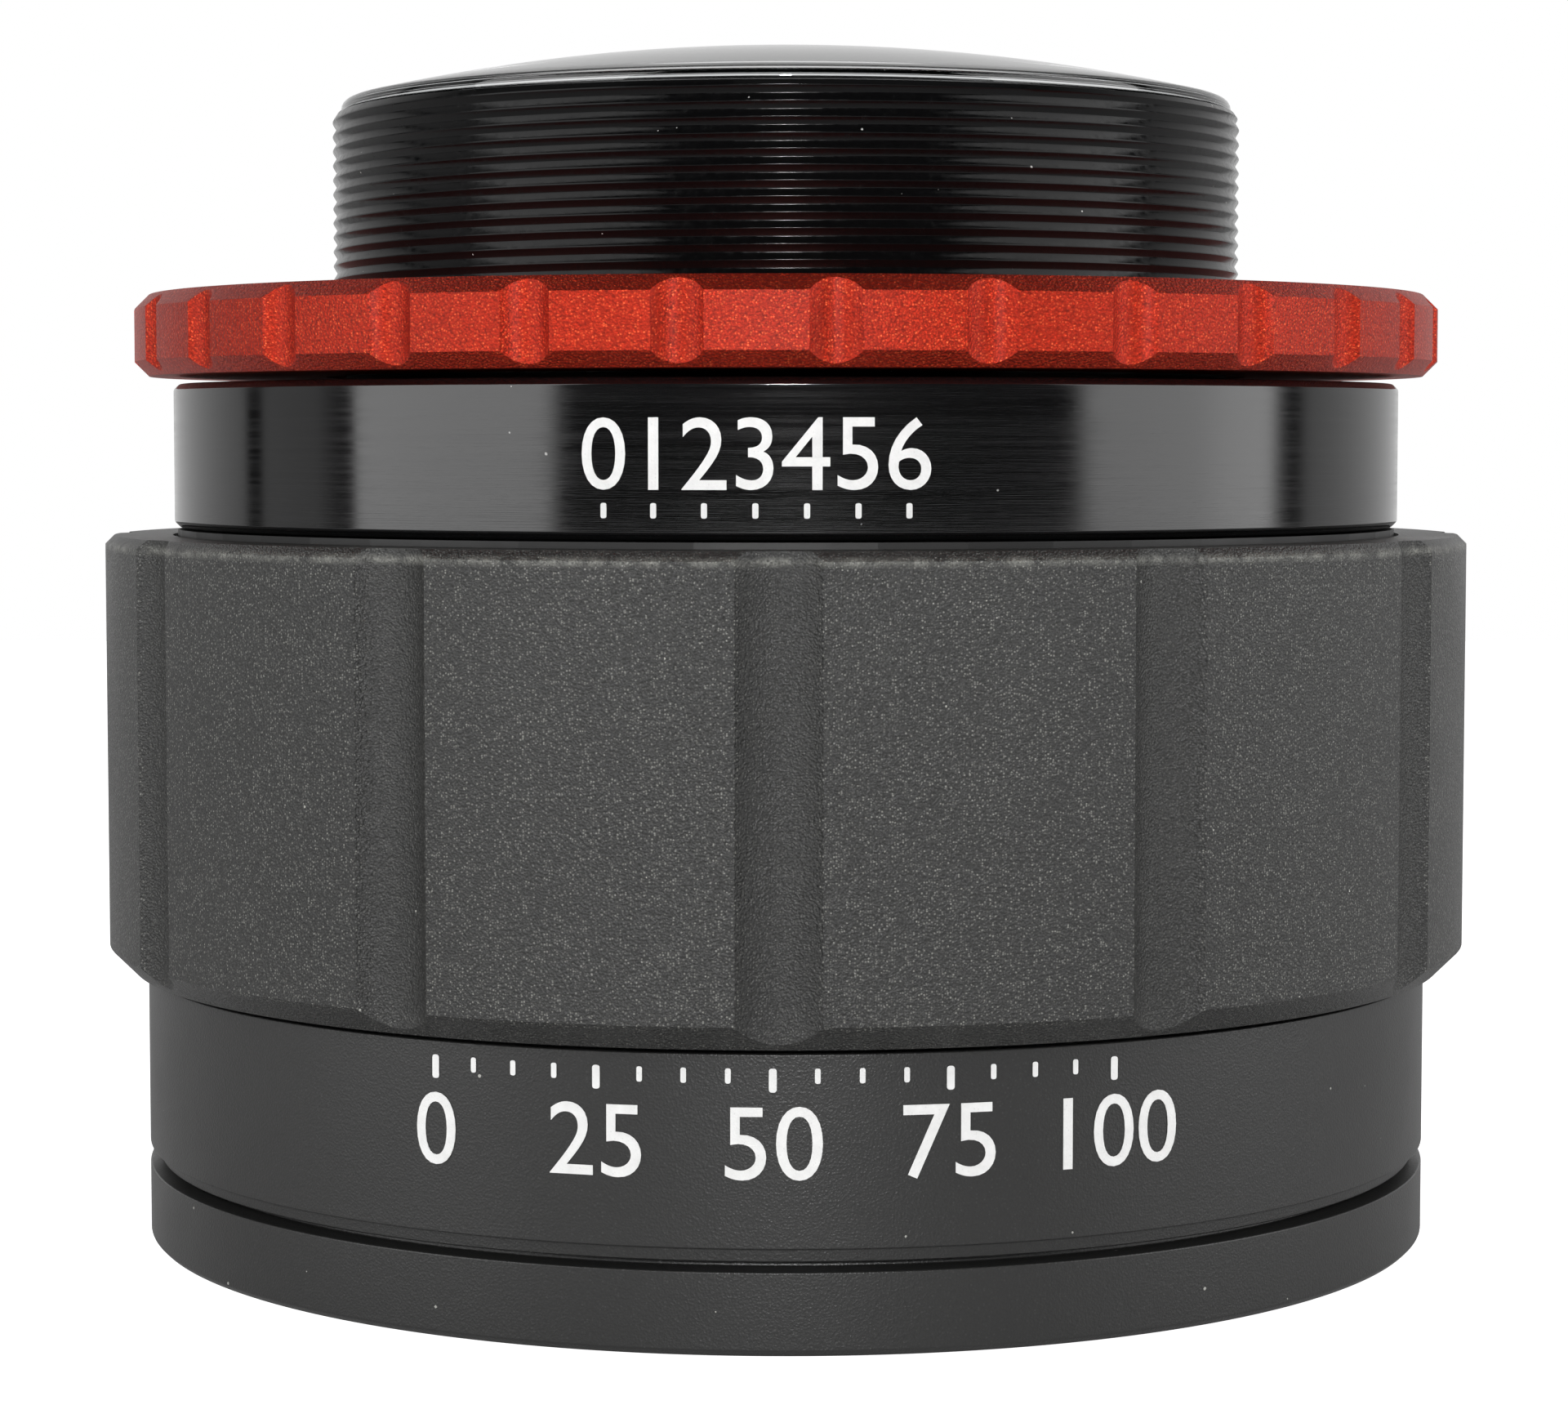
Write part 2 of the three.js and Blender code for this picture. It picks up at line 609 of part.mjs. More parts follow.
// ---- Optics ----
// The dome spreads over the retaining ring and the rim of the neck.
function rearCrown() {
  const dome = count(CURVE_STEPS + 1, (i) => {
    const r = (domeR * i) / CURVE_STEPS;
    return [r, domeZ - sag(DOME_CURVE, r)];
  });
  const step = [
    [rearLensR, rearShoulderZ], [rearClearR, rearShoulderZ], [rearClearR, domeLipZ], [domeR, domeLipZ],
  ];
  return lens(face(-REAR_CEMENT_CURVE, rearLensR, rearCementZ), step, dome);
}

function rearFlint() {
  return lens(
    face(-REAR_INNER_CURVE, rearLensR, rearFlintZ),
    [],
    face(-REAR_CEMENT_CURVE, rearLensR, rearFlintZ + rearFlintEdge),
  );
}

function movingFlint() {
  return lens(
    face(MOVING_CEMENT_CURVE, movingLensR, movingFlintZ),
    [],
    face(-MOVING_TOP_CURVE, movingLensR, movingFlintZ + movingFlintEdge),
  );
}

function movingCrown() {
  return lens(
    face(MOVING_FRONT_CURVE, movingLensR, movingCrownZ),
    [],
    face(MOVING_CEMENT_CURVE, movingLensR, movingCrownZ + movingCrownEdge),
  );
}

function frontWindow() {
  return turned([
    [0, windowZ],
    [windowR - EDGE, windowZ],
    [windowR, windowZ + EDGE],
    [windowR, windowZ + WINDOW_T - EDGE],
    [windowR - EDGE, windowZ + WINDOW_T],
    [0, windowZ + WINDOW_T],
  ], LENS_SIDES);
}

// ---- Lock ring ----
function lockRing() {
  const bore = NECK_R + RUN;
  const body = turned([
    [bore, lockBottom],
    [lockR - LOCK_CHAMFER, lockBottom],
    [lockR, lockBottom + LOCK_CHAMFER],
    [lockR, lockTop - LOCK_CHAMFER],
    [lockR - LOCK_CHAMFER, lockTop],
    [bore, lockTop],
  ], GRIP_SIDES);
  const scallops = hollows({
    n: SCALLOPS,
    r: lockR,
    width: SCALLOP_WIDTH,
    depth: SCALLOP_DEPTH,
    start: SCALLOP_START,
    bottom: lockBottom,
    top: lockTop,
    sides: SLOT_SIDES,
  });
  return cut(body, scallops);
}

// ---- Assembly ----
function piece(name, geometry, material) {
  geometry.computeVertexNormals();
  const mesh = new THREE.Mesh(geometry, material);
  mesh.name = name;
  return mesh;
}

const housing = new THREE.Group();
housing.add(
  piece('rear_barrel', rearBarrel(), glossBlack),
  piece('guide_tube', guideTube(), innerBlack),
  piece('lower_barrel', lowerBarrel(), satinBlack),
  piece('front_ring', frontRing(), satinBlack),
  piece('front_window', frontWindow(), glass),
  piece('window_retainer', retainer(windowR, RETAINER_WALL, windowRetainerZ, RETAINER_T), innerBlack),
  piece('rear_crown_lens', rearCrown(), glass),
  piece('rear_flint_lens', rearFlint(), glass),
  piece(
    'rear_retainer', retainer(rearRetainerR, REAR_RETAINER_WALL, rearRetainerZ, REAR_RETAINER_T), innerBlack),
  piece('upper_slip_ring', upperSlipRing(), slipPlastic),
  piece('lower_slip_ring', lowerSlipRing(), slipPlastic),
  piece('stop_screw', stopScrew(), steel),
  ...count(SCREWS, (k) => piece(`barrel_screw_${k + 1}`, barrelScrew(k), steel)),
);

const grip = new THREE.Group();
grip.add(
  piece('grip_ring', gripRing(), beadBlasted),
  piece('cam_sleeve', camSleeve(), innerBlack),
  ...count(SCREWS, (k) => piece(`grip_screw_${k + 1}`, gripScrew(k), steel)),
);

const moving = new THREE.Group();
moving.add(
  piece('lens_carriage', carriage(), innerBlack),
  piece('moving_flint_lens', movingFlint(), glass),
  piece('moving_crown_lens', movingCrown(), glass),
  piece('moving_retainer',
    retainer(movingLensR, RETAINER_WALL, movingRetainerZ, RETAINER_T, 'lower'),
    innerBlack),
  ...count(FOLLOWERS, (k) => piece(`follower_pin_${k + 1}`, followerPin(k), steel)),
  ...count(FOLLOWERS, (k) => piece(`follower_collar_${k + 1}`, followerCollar(k), brass)),
);

const objective = new THREE.Group();
objective.add(housing, grip, moving, piece('lock_ring', lockRing(), redAnodised));

export default objective;
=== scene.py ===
"""Detailed pieces, finishes and stage for a microscope objective with a variable working distance.

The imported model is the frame: heights come from its nodes, every piece rides on one of its bodies, and
nothing of it is moved. Everything is in metres, with the optical axis on +Z.
"""

import math

import bmesh
import bpy
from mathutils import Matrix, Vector


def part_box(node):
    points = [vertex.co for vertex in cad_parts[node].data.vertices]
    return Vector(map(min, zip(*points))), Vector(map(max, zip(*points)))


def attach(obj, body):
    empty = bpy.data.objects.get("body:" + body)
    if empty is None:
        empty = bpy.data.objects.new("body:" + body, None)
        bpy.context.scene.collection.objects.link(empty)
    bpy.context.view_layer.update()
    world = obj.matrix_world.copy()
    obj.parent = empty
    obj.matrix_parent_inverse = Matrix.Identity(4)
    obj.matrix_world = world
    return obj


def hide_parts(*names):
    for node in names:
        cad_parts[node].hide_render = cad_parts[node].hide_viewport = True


bl_info = {
    "name": "Variable Focus Objective",
    "version": (1, 0, 0),
    "blender": (4, 5, 0),
    "location": "3D View > Sidebar > Objective",
    "description": "Threaded neck, lock ring, fluted grip, barrels, lenses and scales of an objective",
    "category": "Object",
}

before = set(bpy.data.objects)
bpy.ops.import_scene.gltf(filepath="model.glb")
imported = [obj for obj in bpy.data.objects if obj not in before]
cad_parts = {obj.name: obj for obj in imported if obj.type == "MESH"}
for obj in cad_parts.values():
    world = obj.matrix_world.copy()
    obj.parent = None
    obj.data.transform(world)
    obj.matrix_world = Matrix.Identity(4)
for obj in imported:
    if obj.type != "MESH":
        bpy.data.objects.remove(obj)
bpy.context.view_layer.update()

MM = 0.001
SEGMENTS = 240                  # sides of every turned ring
THREAD_STEPS = 192              # steps in one turn of the mounting thread
LENS_RINGS = 14                 # rings from a lens's middle to its edge
CUTTER_SIDES = 64
CLEARANCE = 0.1 * MM            # gap to the neighbouring pieces of the frame
PAST = 1.0 * MM                 # how far a cutter passes the faces that it opens
RETAINER_SEAT = 1.2 * MM        # depth of the retaining ring in the neck
SMALL_EDGE = 0.3 * MM           # chamfer on the lesser edges
SAME_PLACE = 1e-7               # vertices closer than this are one vertex
SHARP_ANGLE = math.radians(32)


def low(node):
    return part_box(node)[0].z


def high(node):
    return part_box(node)[1].z


def outer_radius(node):
    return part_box(node)[1].x


def sag(curve, radius):
    """Depth of a spherical face of this radius of curvature, out to a radius."""
    return curve - math.sqrt(curve * curve - radius * radius)


# ---- Settings in the sidebar ----
def length(name, description, millimetres):
    return bpy.props.FloatProperty(
        name=name, description=description, default=millimetres * MM, min=0, unit="LENGTH", precision=5)


def angle(name, description, degrees):
    return bpy.props.FloatProperty(
        name=name, description=description, default=math.radians(degrees), unit="ROTATION", precision=3)


def colour(name, description, rgb):
    return bpy.props.FloatVectorProperty(
        name=name, description=description, default=(*rgb, 1.0), size=4, min=0, max=1, subtype="COLOR")


class ObjectiveSizes(bpy.types.PropertyGroup):
    """Radii, chamfers and hollows of the modelled pieces."""

    neck_radius: length("Neck radius", "Outside radius of the mounting thread", 24.0)
    thread_pitch: length("Thread pitch", "Distance from one thread crest to the next", 0.75)
    lock_radius: length("Lock ring radius", "Outside radius of the lock ring", 34.4)
    lock_chamfer: length("Lock ring chamfer", "Chamfer on both edges of the lock ring", 0.75)
    scallops: bpy.props.IntProperty(
        name="Scallops", description="Number of hollows round the lock ring", default=30, min=3)
    scallop_width: length("Scallop width", "Width of a hollow of the lock ring", 2.45)
    scallop_depth: length("Scallop depth", "Depth of a hollow of the lock ring", 0.58)
    scallop_start: angle("First scallop", "Place of the first hollow round the axis", -86.2)
    grip_radius: length("Grip radius", "Outside radius of the focusing grip", 36.0)
    grip_foot: length("Grip foot chamfer", "Chamfer on the lower edge of the grip", 1.2)
    grip_top: length("Grip top chamfer", "Chamfer on the upper edge of the grip", 0.45)
    flutes: bpy.props.IntProperty(
        name="Flutes", description="Number of hollows round the grip", default=12, min=3)
    flute_width: length("Flute width", "Width of a hollow of the grip", 4.0)
    flute_depth: length("Flute depth", "Depth of a hollow of the grip", 0.9)
    flute_start: angle("First flute", "Place of the first hollow round the axis", -90.5)
    broken_edge: length("Broken edge", "Rounding of the machined edges", 0.08)
    digit_height: length("Digit height", "Height of the printed numbers", 3.4)


class ObjectiveFinish(bpy.types.PropertyGroup):
    """Colours of the finishes that show."""

    gloss_black: colour("Gloss black", "Neck and flange", (0.0030, 0.0030, 0.0032))
    grip_black: colour("Grip black", "Bead-blasted grip", (0.030, 0.030, 0.0285))
    barrel_black: colour("Barrel black", "Satin barrels", (0.021, 0.021, 0.0205))
    lock_red: colour("Lock ring red", "Anodised lock ring", (0.56, 0.029, 0.008))
    print_white: colour("Print white", "Printed scales", (0.93, 0.93, 0.92))


# ---- Modelling steps ----
def edit_mode():
    bpy.ops.object.mode_set(mode="EDIT")


def object_mode():
    bpy.ops.object.mode_set(mode="OBJECT")


def select_none():
    bpy.ops.object.select_all(action="DESELECT")


def select_mesh():
    """In edit mode, selects all of the mesh."""
    bpy.ops.mesh.select_all(action="SELECT")


def only(piece):
    """Selects one object alone and makes it the active one."""
    select_none()
    piece.select_set(True)
    bpy.context.view_layer.objects.active = piece


def named(name):
    """Names the active object and puts its place into its mesh."""
    piece = bpy.context.active_object
    piece.name = piece.data.name = name
    bpy.ops.object.transform_apply(location=True, rotation=True, scale=True)
    return piece


def first_ring(name, radius, height, turn=0.0):
    """A new piece with one ring of edges, left in edit mode with the ring selected."""
    select_none()
    bpy.ops.mesh.primitive_circle_add(
        vertices=SEGMENTS, radius=radius, location=(0, 0, height), rotation=(0, 0, turn))
    piece = named(name)
    edit_mode()
    bpy.ops.mesh.select_mode(type="VERT")
    select_mesh()
    return piece


def draw_rings(outline):
    """Extrudes the selected ring, which lies at the outline's first (radius, height), along the rest."""
    for (radius, height), (next_radius, next_height) in zip(outline, outline[1:]):
        bpy.ops.mesh.extrude_region_move(TRANSFORM_OT_translate={"value": (0, 0, next_height - height)})
        scale = next_radius / radius
        bpy.ops.transform.resize(value=(scale, scale, 1), center_override=(0, 0, 0))


def close_up():
    """Joins the seams, turns every face outwards and leaves edit mode."""
    select_mesh()
    bpy.ops.mesh.remove_doubles(threshold=SAME_PLACE)
    bpy.ops.mesh.normals_make_consistent(inside=False)
    object_mode()


def turned(name, outline, turn=0.0):
    """A closed ring turned from its outline."""
    piece = first_ring(name, *outline[0], turn)
    draw_rings([*outline, outline[0]])
    close_up()
    return piece


def pick_open_edges(piece, wanted):
    """Selects the open edges whose ends pass a test, in edit mode."""
    bpy.ops.mesh.select_mode(type="EDGE")
    bpy.ops.mesh.select_all(action="DESELECT")
    mesh = bmesh.from_edit_mesh(piece.data)
    for edge in mesh.edges:
        if edge.is_boundary and all(wanted(vertex.co) for vertex in edge.verts):
            edge.select_set(True)
    bmesh.update_edit_mesh(piece.data)


def use_modifier(piece, kind, **settings):
    """Adds a modifier with these settings and applies it."""
    only(piece)
    modifier = piece.modifiers.new(kind.lower(), kind)
    for name, value in settings.items():
        setattr(modifier, name, value)
    bpy.ops.object.modifier_apply(modifier=modifier.name)


def break_edges(piece, width):
    """Rounds every sharp edge a little."""
    use_modifier(piece, "BEVEL", width=width, segments=3, limit_method="ANGLE",
                 angle_limit=SHARP_ANGLE, miter_outer="MITER_ARC")


def shade(piece):
    """Smooth shading that keeps flats flat."""
    only(piece)
    bpy.ops.object.shade_smooth_by_angle(angle=SHARP_ANGLE)
    use_modifier(piece, "WEIGHTED_NORMAL", weight=50, keep_sharp=True)


def ring_of_copies(count):
    """In edit mode, copies all of the mesh evenly round the axis."""
    step = 2 * math.pi / count
    select_mesh()
    for _ in range(count - 1):
        bpy.ops.mesh.duplicate()
        bpy.ops.transform.rotate(value=step, orient_axis="Z", center_override=(0, 0, 0))


def round_cutter(radius, distance, angle_at, bottom, top, count):
    """Round bars that stand evenly round the axis, for cutting."""
    select_none()
    bpy.ops.mesh.primitive_cylinder_add(
        vertices=CUTTER_SIDES, radius=radius, depth=top - bottom,
        location=(distance * math.cos(angle_at), distance * math.sin(angle_at), (bottom + top) / 2))
    cutter = named("cutter")
    edit_mode()
    ring_of_copies(count)
    object_mode()
    return cutter


def cut(piece, cutter):
    """Takes a cutter's shape out of a piece, and the cutter out of the scene."""
    use_modifier(piece, "BOOLEAN", operation="DIFFERENCE", object=cutter, solver="EXACT")
    bpy.data.objects.remove(cutter)


def hollow_radius(radius, width, depth):
    """Radius of a round cutter that leaves a hollow of this width and depth in a round."""
    rise = math.sqrt(radius ** 2 - width ** 2 / 4) - (radius - depth)
    return (rise ** 2 + width ** 2 / 4) / (2 * rise)


def cut_hollows(piece, node, radius, width, depth, start, count):
    """Cuts round hollows, evenly round the axis and along the whole height of a node."""
    cutter_radius = hollow_radius(radius, width, depth)
    cut(piece, round_cutter(
        cutter_radius, radius - depth + cutter_radius, start, low(node) - PAST, high(node) + PAST, count))


def turn_onto(start):
    """The turn that brings one of a ring's corners to an angle."""
    return start % (2 * math.pi / SEGMENTS)


def seat(piece, body, slot, material, *nodes):
    """The last step for a piece: its finish, the body it rides on and the CAD nodes it stands for."""
    piece.data.materials.clear()
    piece.data.materials.append(material)
    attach(piece, body)
    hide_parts(*nodes)


# ---- Nodes ----
def node(tree, kind, values=(), **settings):
    """A new node with its settings, and its inputs set to numbers or linked to other nodes' outputs."""
    made = tree.nodes.new("ShaderNode" + kind)
    for name, value in settings.items():
        setattr(made, name, value)
    for name, value in dict(values).items():
        if isinstance(value, bpy.types.NodeSocket):
            tree.links.new(value, made.inputs[name])
        else:
            made.inputs[name].default_value = value
    return made


def maths(tree, operation, first, second=0.0, clamp=False):
    made = node(tree, "Math", {0: first, 1: second}, operation=operation, use_clamp=clamp)
    return made.outputs[0]


def times(tree, first, second, clamp=False):
    return maths(tree, "MULTIPLY", first, second, clamp)


def vectors(tree, operation, first, second):
    return node(tree, "VectorMath", {0: first, 1: second}, operation=operation).outputs[0]


def remap(tree, value, from_low, from_high, to_low=0.0, to_high=1.0):
    return node(tree, "MapRange", {
        "Value": value, "From Min": from_low, "From Max": from_high,
        "To Min": to_low, "To Max": to_high}).outputs["Result"]


def between(tree, amount, first, second):
    """A number between two numbers."""
    return remap(tree, amount, 0.0, 1.0, first, second)


def mixed(tree, factor, first, second):
    """A colour between two colours."""
    made = node(tree, "Mix", data_type="RGBA")
    for index, value in ((0, factor), (6, first), (7, second)):
        if isinstance(value, bpy.types.NodeSocket):
            tree.links.new(value, made.inputs[index])
        else:
            made.inputs[index].default_value = value
    return made.outputs[2]


def new_group(name, inputs, outputs):
    """A shader node group. Its inputs are (name, default) pairs, after the Vector that each one has."""
    tree = bpy.data.node_groups.new(name, "ShaderNodeTree")
    sockets = tree.interface
    sockets.new_socket("Vector", in_out="INPUT", socket_type="NodeSocketVector")
    for label, default in inputs:
        sockets.new_socket(label, in_out="INPUT", socket_type="NodeSocketFloat").default_value = default
    for label in outputs:
        sockets.new_socket(label, in_out="OUTPUT", socket_type="NodeSocketFloat")
    return tree, tree.nodes.new("NodeGroupInput").outputs, tree.nodes.new("NodeGroupOutput").inputs


def make_blast_grain():
    """Overlapping dimples of bead blasting, and the share of them that glint."""
    tree, given, result = new_group(
        "blast_grain", [("Grain", 0.12 * MM), ("Share", 0.14)], ["Height", "Glint"])
    scale = maths(tree, "DIVIDE", 1.0, given["Grain"])
    lumps = node(tree, "TexNoise", {
        "Vector": given["Vector"], "Scale": scale, "Detail": 2.0, "Roughness": 0.6})
    dimples = node(tree, "TexVoronoi", {"Vector": given["Vector"], "Scale": scale})
    height = maths(tree, "ADD", times(tree, lumps.outputs["Fac"], 0.65),
                   times(tree, dimples.outputs["Distance"], 0.45))
    chance = node(tree, "SeparateColor", {"Color": dimples.outputs["Color"]}).outputs["Red"]
    rare = remap(tree, chance, maths(tree, "SUBTRACT", 1.0, given["Share"]), 1.0)
    middle = remap(tree, dimples.outputs["Distance"], 0.15, 0.5, 1.0, 0.0)
    tree.links.new(height, result["Height"])
    tree.links.new(times(tree, rare, middle, clamp=True), result["Glint"])


def make_turned_lines():
    """Fine lines round the axis, as a lathe tool leaves them."""
    tree, given, result = new_group(
        "turned_lines", [("Line spacing", 0.03 * MM), ("Line length", 4.0 * MM)], ["Height", "Streak"])
    fine = maths(tree, "DIVIDE", 1.0, given["Line spacing"])
    long = maths(tree, "DIVIDE", 1.0, given["Line length"])
    scales = node(tree, "CombineXYZ", {"X": long, "Y": long, "Z": fine}).outputs[0]
    place = vectors(tree, "MULTIPLY", given["Vector"], scales)
    lines = node(tree, "TexNoise", {
        "Vector": place, "Scale": 1.0, "Detail": 4.0, "Roughness": 0.65})
    bands = node(tree, "TexNoise", {
        "Vector": place, "Scale": 0.17, "Detail": 3.0, "Roughness": 0.7})
    tree.links.new(lines.outputs["Fac"], result["Height"])
    tree.links.new(remap(tree, bands.outputs["Fac"], 0.35, 0.68), result["Streak"])


def make_dust():
    """A scatter of small specks."""
    tree, given, result = new_group(
        "dust", [("Spacing", 1.2 * MM), ("Speck", 0.06), ("Share", 0.3)], ["Mask"])
    wobble = node(tree, "TexNoise", {"Vector": given["Vector"], "Scale": 1.0 / (0.08 * MM)})
    place = vectors(tree, "ADD", given["Vector"],
                    vectors(tree, "MULTIPLY", wobble.outputs["Color"], (0.05 * MM,) * 3))
    cells = node(tree, "TexVoronoi", {
        "Vector": place, "Scale": maths(tree, "DIVIDE", 1.0, given["Spacing"])})
    chance = node(tree, "SeparateColor", {"Color": cells.outputs["Color"]})
    size = times(tree, given["Speck"], maths(tree, "ADD", chance.outputs["Green"], 0.35))
    near = maths(tree, "LESS_THAN", cells.outputs["Distance"], size)
    kept = maths(tree, "LESS_THAN", chance.outputs["Red"], given["Share"])
    tree.links.new(times(tree, near, kept), result["Mask"])


def make_rubbed_edge():
    """Patches of wear along an edge that runs round the piece at one height."""
    tree, given, result = new_group("rubbed_edge", [("Height", 0.0), ("Reach", 0.2 * MM)], ["Mask"])
    height = node(tree, "SeparateXYZ", {"Vector": given["Vector"]}).outputs["Z"]
    away = maths(tree, "ABSOLUTE", maths(tree, "SUBTRACT", height, given["Height"]))
    near = maths(tree, "SUBTRACT", 1.0, maths(tree, "DIVIDE", away, given["Reach"]), clamp=True)
    patches = node(tree, "TexNoise", {
        "Vector": given["Vector"], "Scale": 1.0 / (1.1 * MM), "Detail": 5.0, "Roughness": 0.7})
    worn = remap(tree, patches.outputs["Fac"], 0.36, 0.60)
    tree.links.new(times(tree, near, worn, clamp=True), result["Mask"])


def make_mottle():
    """Slow variation from handling and from the dye."""
    tree, given, result = new_group("mottle", [("Patch", 9.0 * MM)], ["Amount"])
    clouds = node(tree, "TexNoise", {
        "Vector": given["Vector"], "Scale": maths(tree, "DIVIDE", 1.0, given["Patch"]),
        "Detail": 4.0, "Roughness": 0.6})
    tree.links.new(remap(tree, clouds.outputs["Fac"], 0.3, 0.7), result["Amount"])


# ---- Finishes ----
def new_finish(name, constants):
    """A material, its node tree, its Principled shader and the place on the piece."""
    material = bpy.data.materials.new(name)
    material.use_nodes = True
    tree = material.node_tree
    shader = next(n for n in tree.nodes if n.type == "BSDF_PRINCIPLED")
    for socket, value in constants.items():
        shader.inputs[socket].default_value = value
    place = node(tree, "TexCoord").outputs["Object"]
    return material, tree, shader, place


def feed(shader, socket, value):
    shader.id_data.links.new(value, shader.inputs[socket])


def effect(tree, name, place, **values):
    """One of the shared effects, placed in a material with its own values."""
    made = node(tree, "Group", node_tree=bpy.data.node_groups[name])
    tree.links.new(place, made.inputs["Vector"])
    for label, value in values.items():
        made.inputs[label.replace("_", " ").capitalize()].default_value = value
    return made.outputs


def bump(tree, shader, height, distance):
    raised = node(tree, "Bump", {"Height": height, "Distance": distance, "Strength": 1.0})
    feed(shader, "Normal", raised.outputs["Normal"])


def lighter(rgba, factor):
    return (*(min(1.0, channel * factor) for channel in rgba[:3]), 1.0)


PALE_SPECK = (0.35, 0.35, 0.34, 1.0)
PAINTED_GLINT = (0.27, 0.27, 0.245, 1.0)
RUBBED_METAL = (0.30, 0.30, 0.27, 1.0)
PAINTED_RED_GLINT = (0.88, 0.13, 0.04, 1.0)
THREAD_DUST = (0.5, 0.5, 0.48, 1.0)
GRIP_DUST = (0.42, 0.42, 0.38, 1.0)
BARREL_DUST = (0.4, 0.4, 0.37, 1.0)
FLOOR_WHITES = (0.93, 0.93, 0.93, 1.0), (0.95, 0.95, 0.95, 1.0)
FLOOR_SEEN = (0.92, 0.92, 0.92, 1)
BLACK = (0, 0, 0, 1)


def polished_finish(base):
    """Gloss black, turned, with fine lines, smears and specks."""
    material, tree, shader, place = new_finish("polished_black", {"IOR": 1.66})
    lines = effect(tree, "turned_lines", place, line_spacing=0.05 * MM)
    haze = effect(tree, "mottle", place, patch=7.0 * MM)["Amount"]
    specks = effect(tree, "dust", place, spacing=1.6 * MM, speck=0.035, share=0.25)["Mask"]
    brushed = mixed(tree, lines["Streak"], base, lighter(base, 2.0))
    feed(shader, "Base Color", mixed(tree, specks, brushed, PALE_SPECK))
    marks = times(tree, lines["Streak"], 0.06)
    rough = maths(tree, "ADD", marks, times(tree, haze, 0.03))
    feed(shader, "Roughness", maths(tree, "ADD", rough, 0.075))
    bump(tree, shader, lines["Height"], 2.2e-6)
    return material


def thread_finish(base):
    """The same black in the thread, where dust and handling marks lie on the crests."""
    material, tree, shader, place = new_finish("thread_black", {"IOR": 1.27})
    haze = effect(tree, "mottle", place, patch=0.45 * MM)["Amount"]
    specks = effect(tree, "dust", place, spacing=0.9 * MM, speck=0.055, share=0.3)["Mask"]
    grain = effect(tree, "blast_grain", place, grain=0.07 * MM)
    feed(shader, "Base Color", mixed(tree, specks, base, THREAD_DUST))
    feed(shader, "Roughness", between(tree, haze, 0.08, 0.28))
    bump(tree, shader, grain["Height"], 1.5e-6)
    return material


def inside_radius(tree, place, radius, blur):
    """1 where the surface lies nearer the axis than a radius, and 0 outside it."""
    flat = vectors(tree, "MULTIPLY", place, (1, 1, 0))
    distance = node(tree, "VectorMath", {0: flat}, operation="LENGTH").outputs["Value"]
    return remap(tree, distance, radius - blur, radius, 1.0, 0.0)


def blasted_finish(base, radius, top_edge):
    """Bead-blasted black of the grip, smoother in its flutes and rubbed along its upper edge."""
    material, tree, shader, place = new_finish("blasted_black", {"IOR": 1.56})
    grain = effect(tree, "blast_grain", place, grain=0.12 * MM, share=0.55)
    smoother = inside_radius(tree, place, radius - 0.05 * MM, 0.1 * MM)
    haze = effect(tree, "mottle", place, patch=11.0 * MM)["Amount"]
    worn = effect(tree, "rubbed_edge", place, height=top_edge, reach=0.3 * MM)["Mask"]
    specks = effect(tree, "dust", place, spacing=0.9 * MM, speck=0.06, share=0.08)["Mask"]
    body = mixed(tree, haze, lighter(base, 0.90), lighter(base, 1.10))
    peaks = remap(tree, grain["Height"], 0.30, 0.80)
    grained = mixed(tree, times(tree, peaks, 0.7), body, lighter(base, 0.2))
    # Painted highlights: pale spots in the base colour stand in for glints of light on the grain, fewer in
    # the flutes.
    sparkle = times(tree, grain["Glint"], between(tree, smoother, 1.0, 0.35))
    glint = mixed(tree, sparkle, grained, PAINTED_GLINT)
    rubbed = mixed(tree, times(tree, worn, peaks), glint, RUBBED_METAL)
    feed(shader, "Base Color", mixed(tree, specks, rubbed, GRIP_DUST))
    dull = maths(tree, "SUBTRACT", between(tree, haze, 0.42, 0.36),
                 times(tree, smoother, 0.02))
    tree.links.new(maths(tree, "SUBTRACT", dull, times(tree, sparkle, 0.12)),
                   shader.inputs["Roughness"])
    bump(tree, shader, grain["Height"], 9.0e-5)
    return material


def satin_finish(base):
    """Satin black of the fixed barrels, with a finer grain."""
    material, tree, shader, place = new_finish("satin_black", {"IOR": 1.56})
    grain = effect(tree, "blast_grain", place, grain=0.12 * MM, share=0.2)
    haze = effect(tree, "mottle", place, patch=14.0 * MM)["Amount"]
    specks = effect(tree, "dust", place, spacing=1.1 * MM, speck=0.06, share=0.15)["Mask"]
    body = mixed(tree, haze, lighter(base, 0.9), lighter(base, 1.12))
    grained = mixed(tree, remap(tree, grain["Height"], 0.35, 0.9, 0.0, 0.5), body, lighter(base, 0.4))
    # Painted highlights: lighter spots in the base colour stand in for glints of light on the grain.
    glint = mixed(tree, grain["Glint"], grained, lighter(base, 2.0))
    feed(shader, "Base Color", mixed(tree, specks, glint, BARREL_DUST))
    feed(shader, "Roughness", between(tree, haze, 0.40, 0.33))
    bump(tree, shader, grain["Height"], 2.2e-5)
    return material


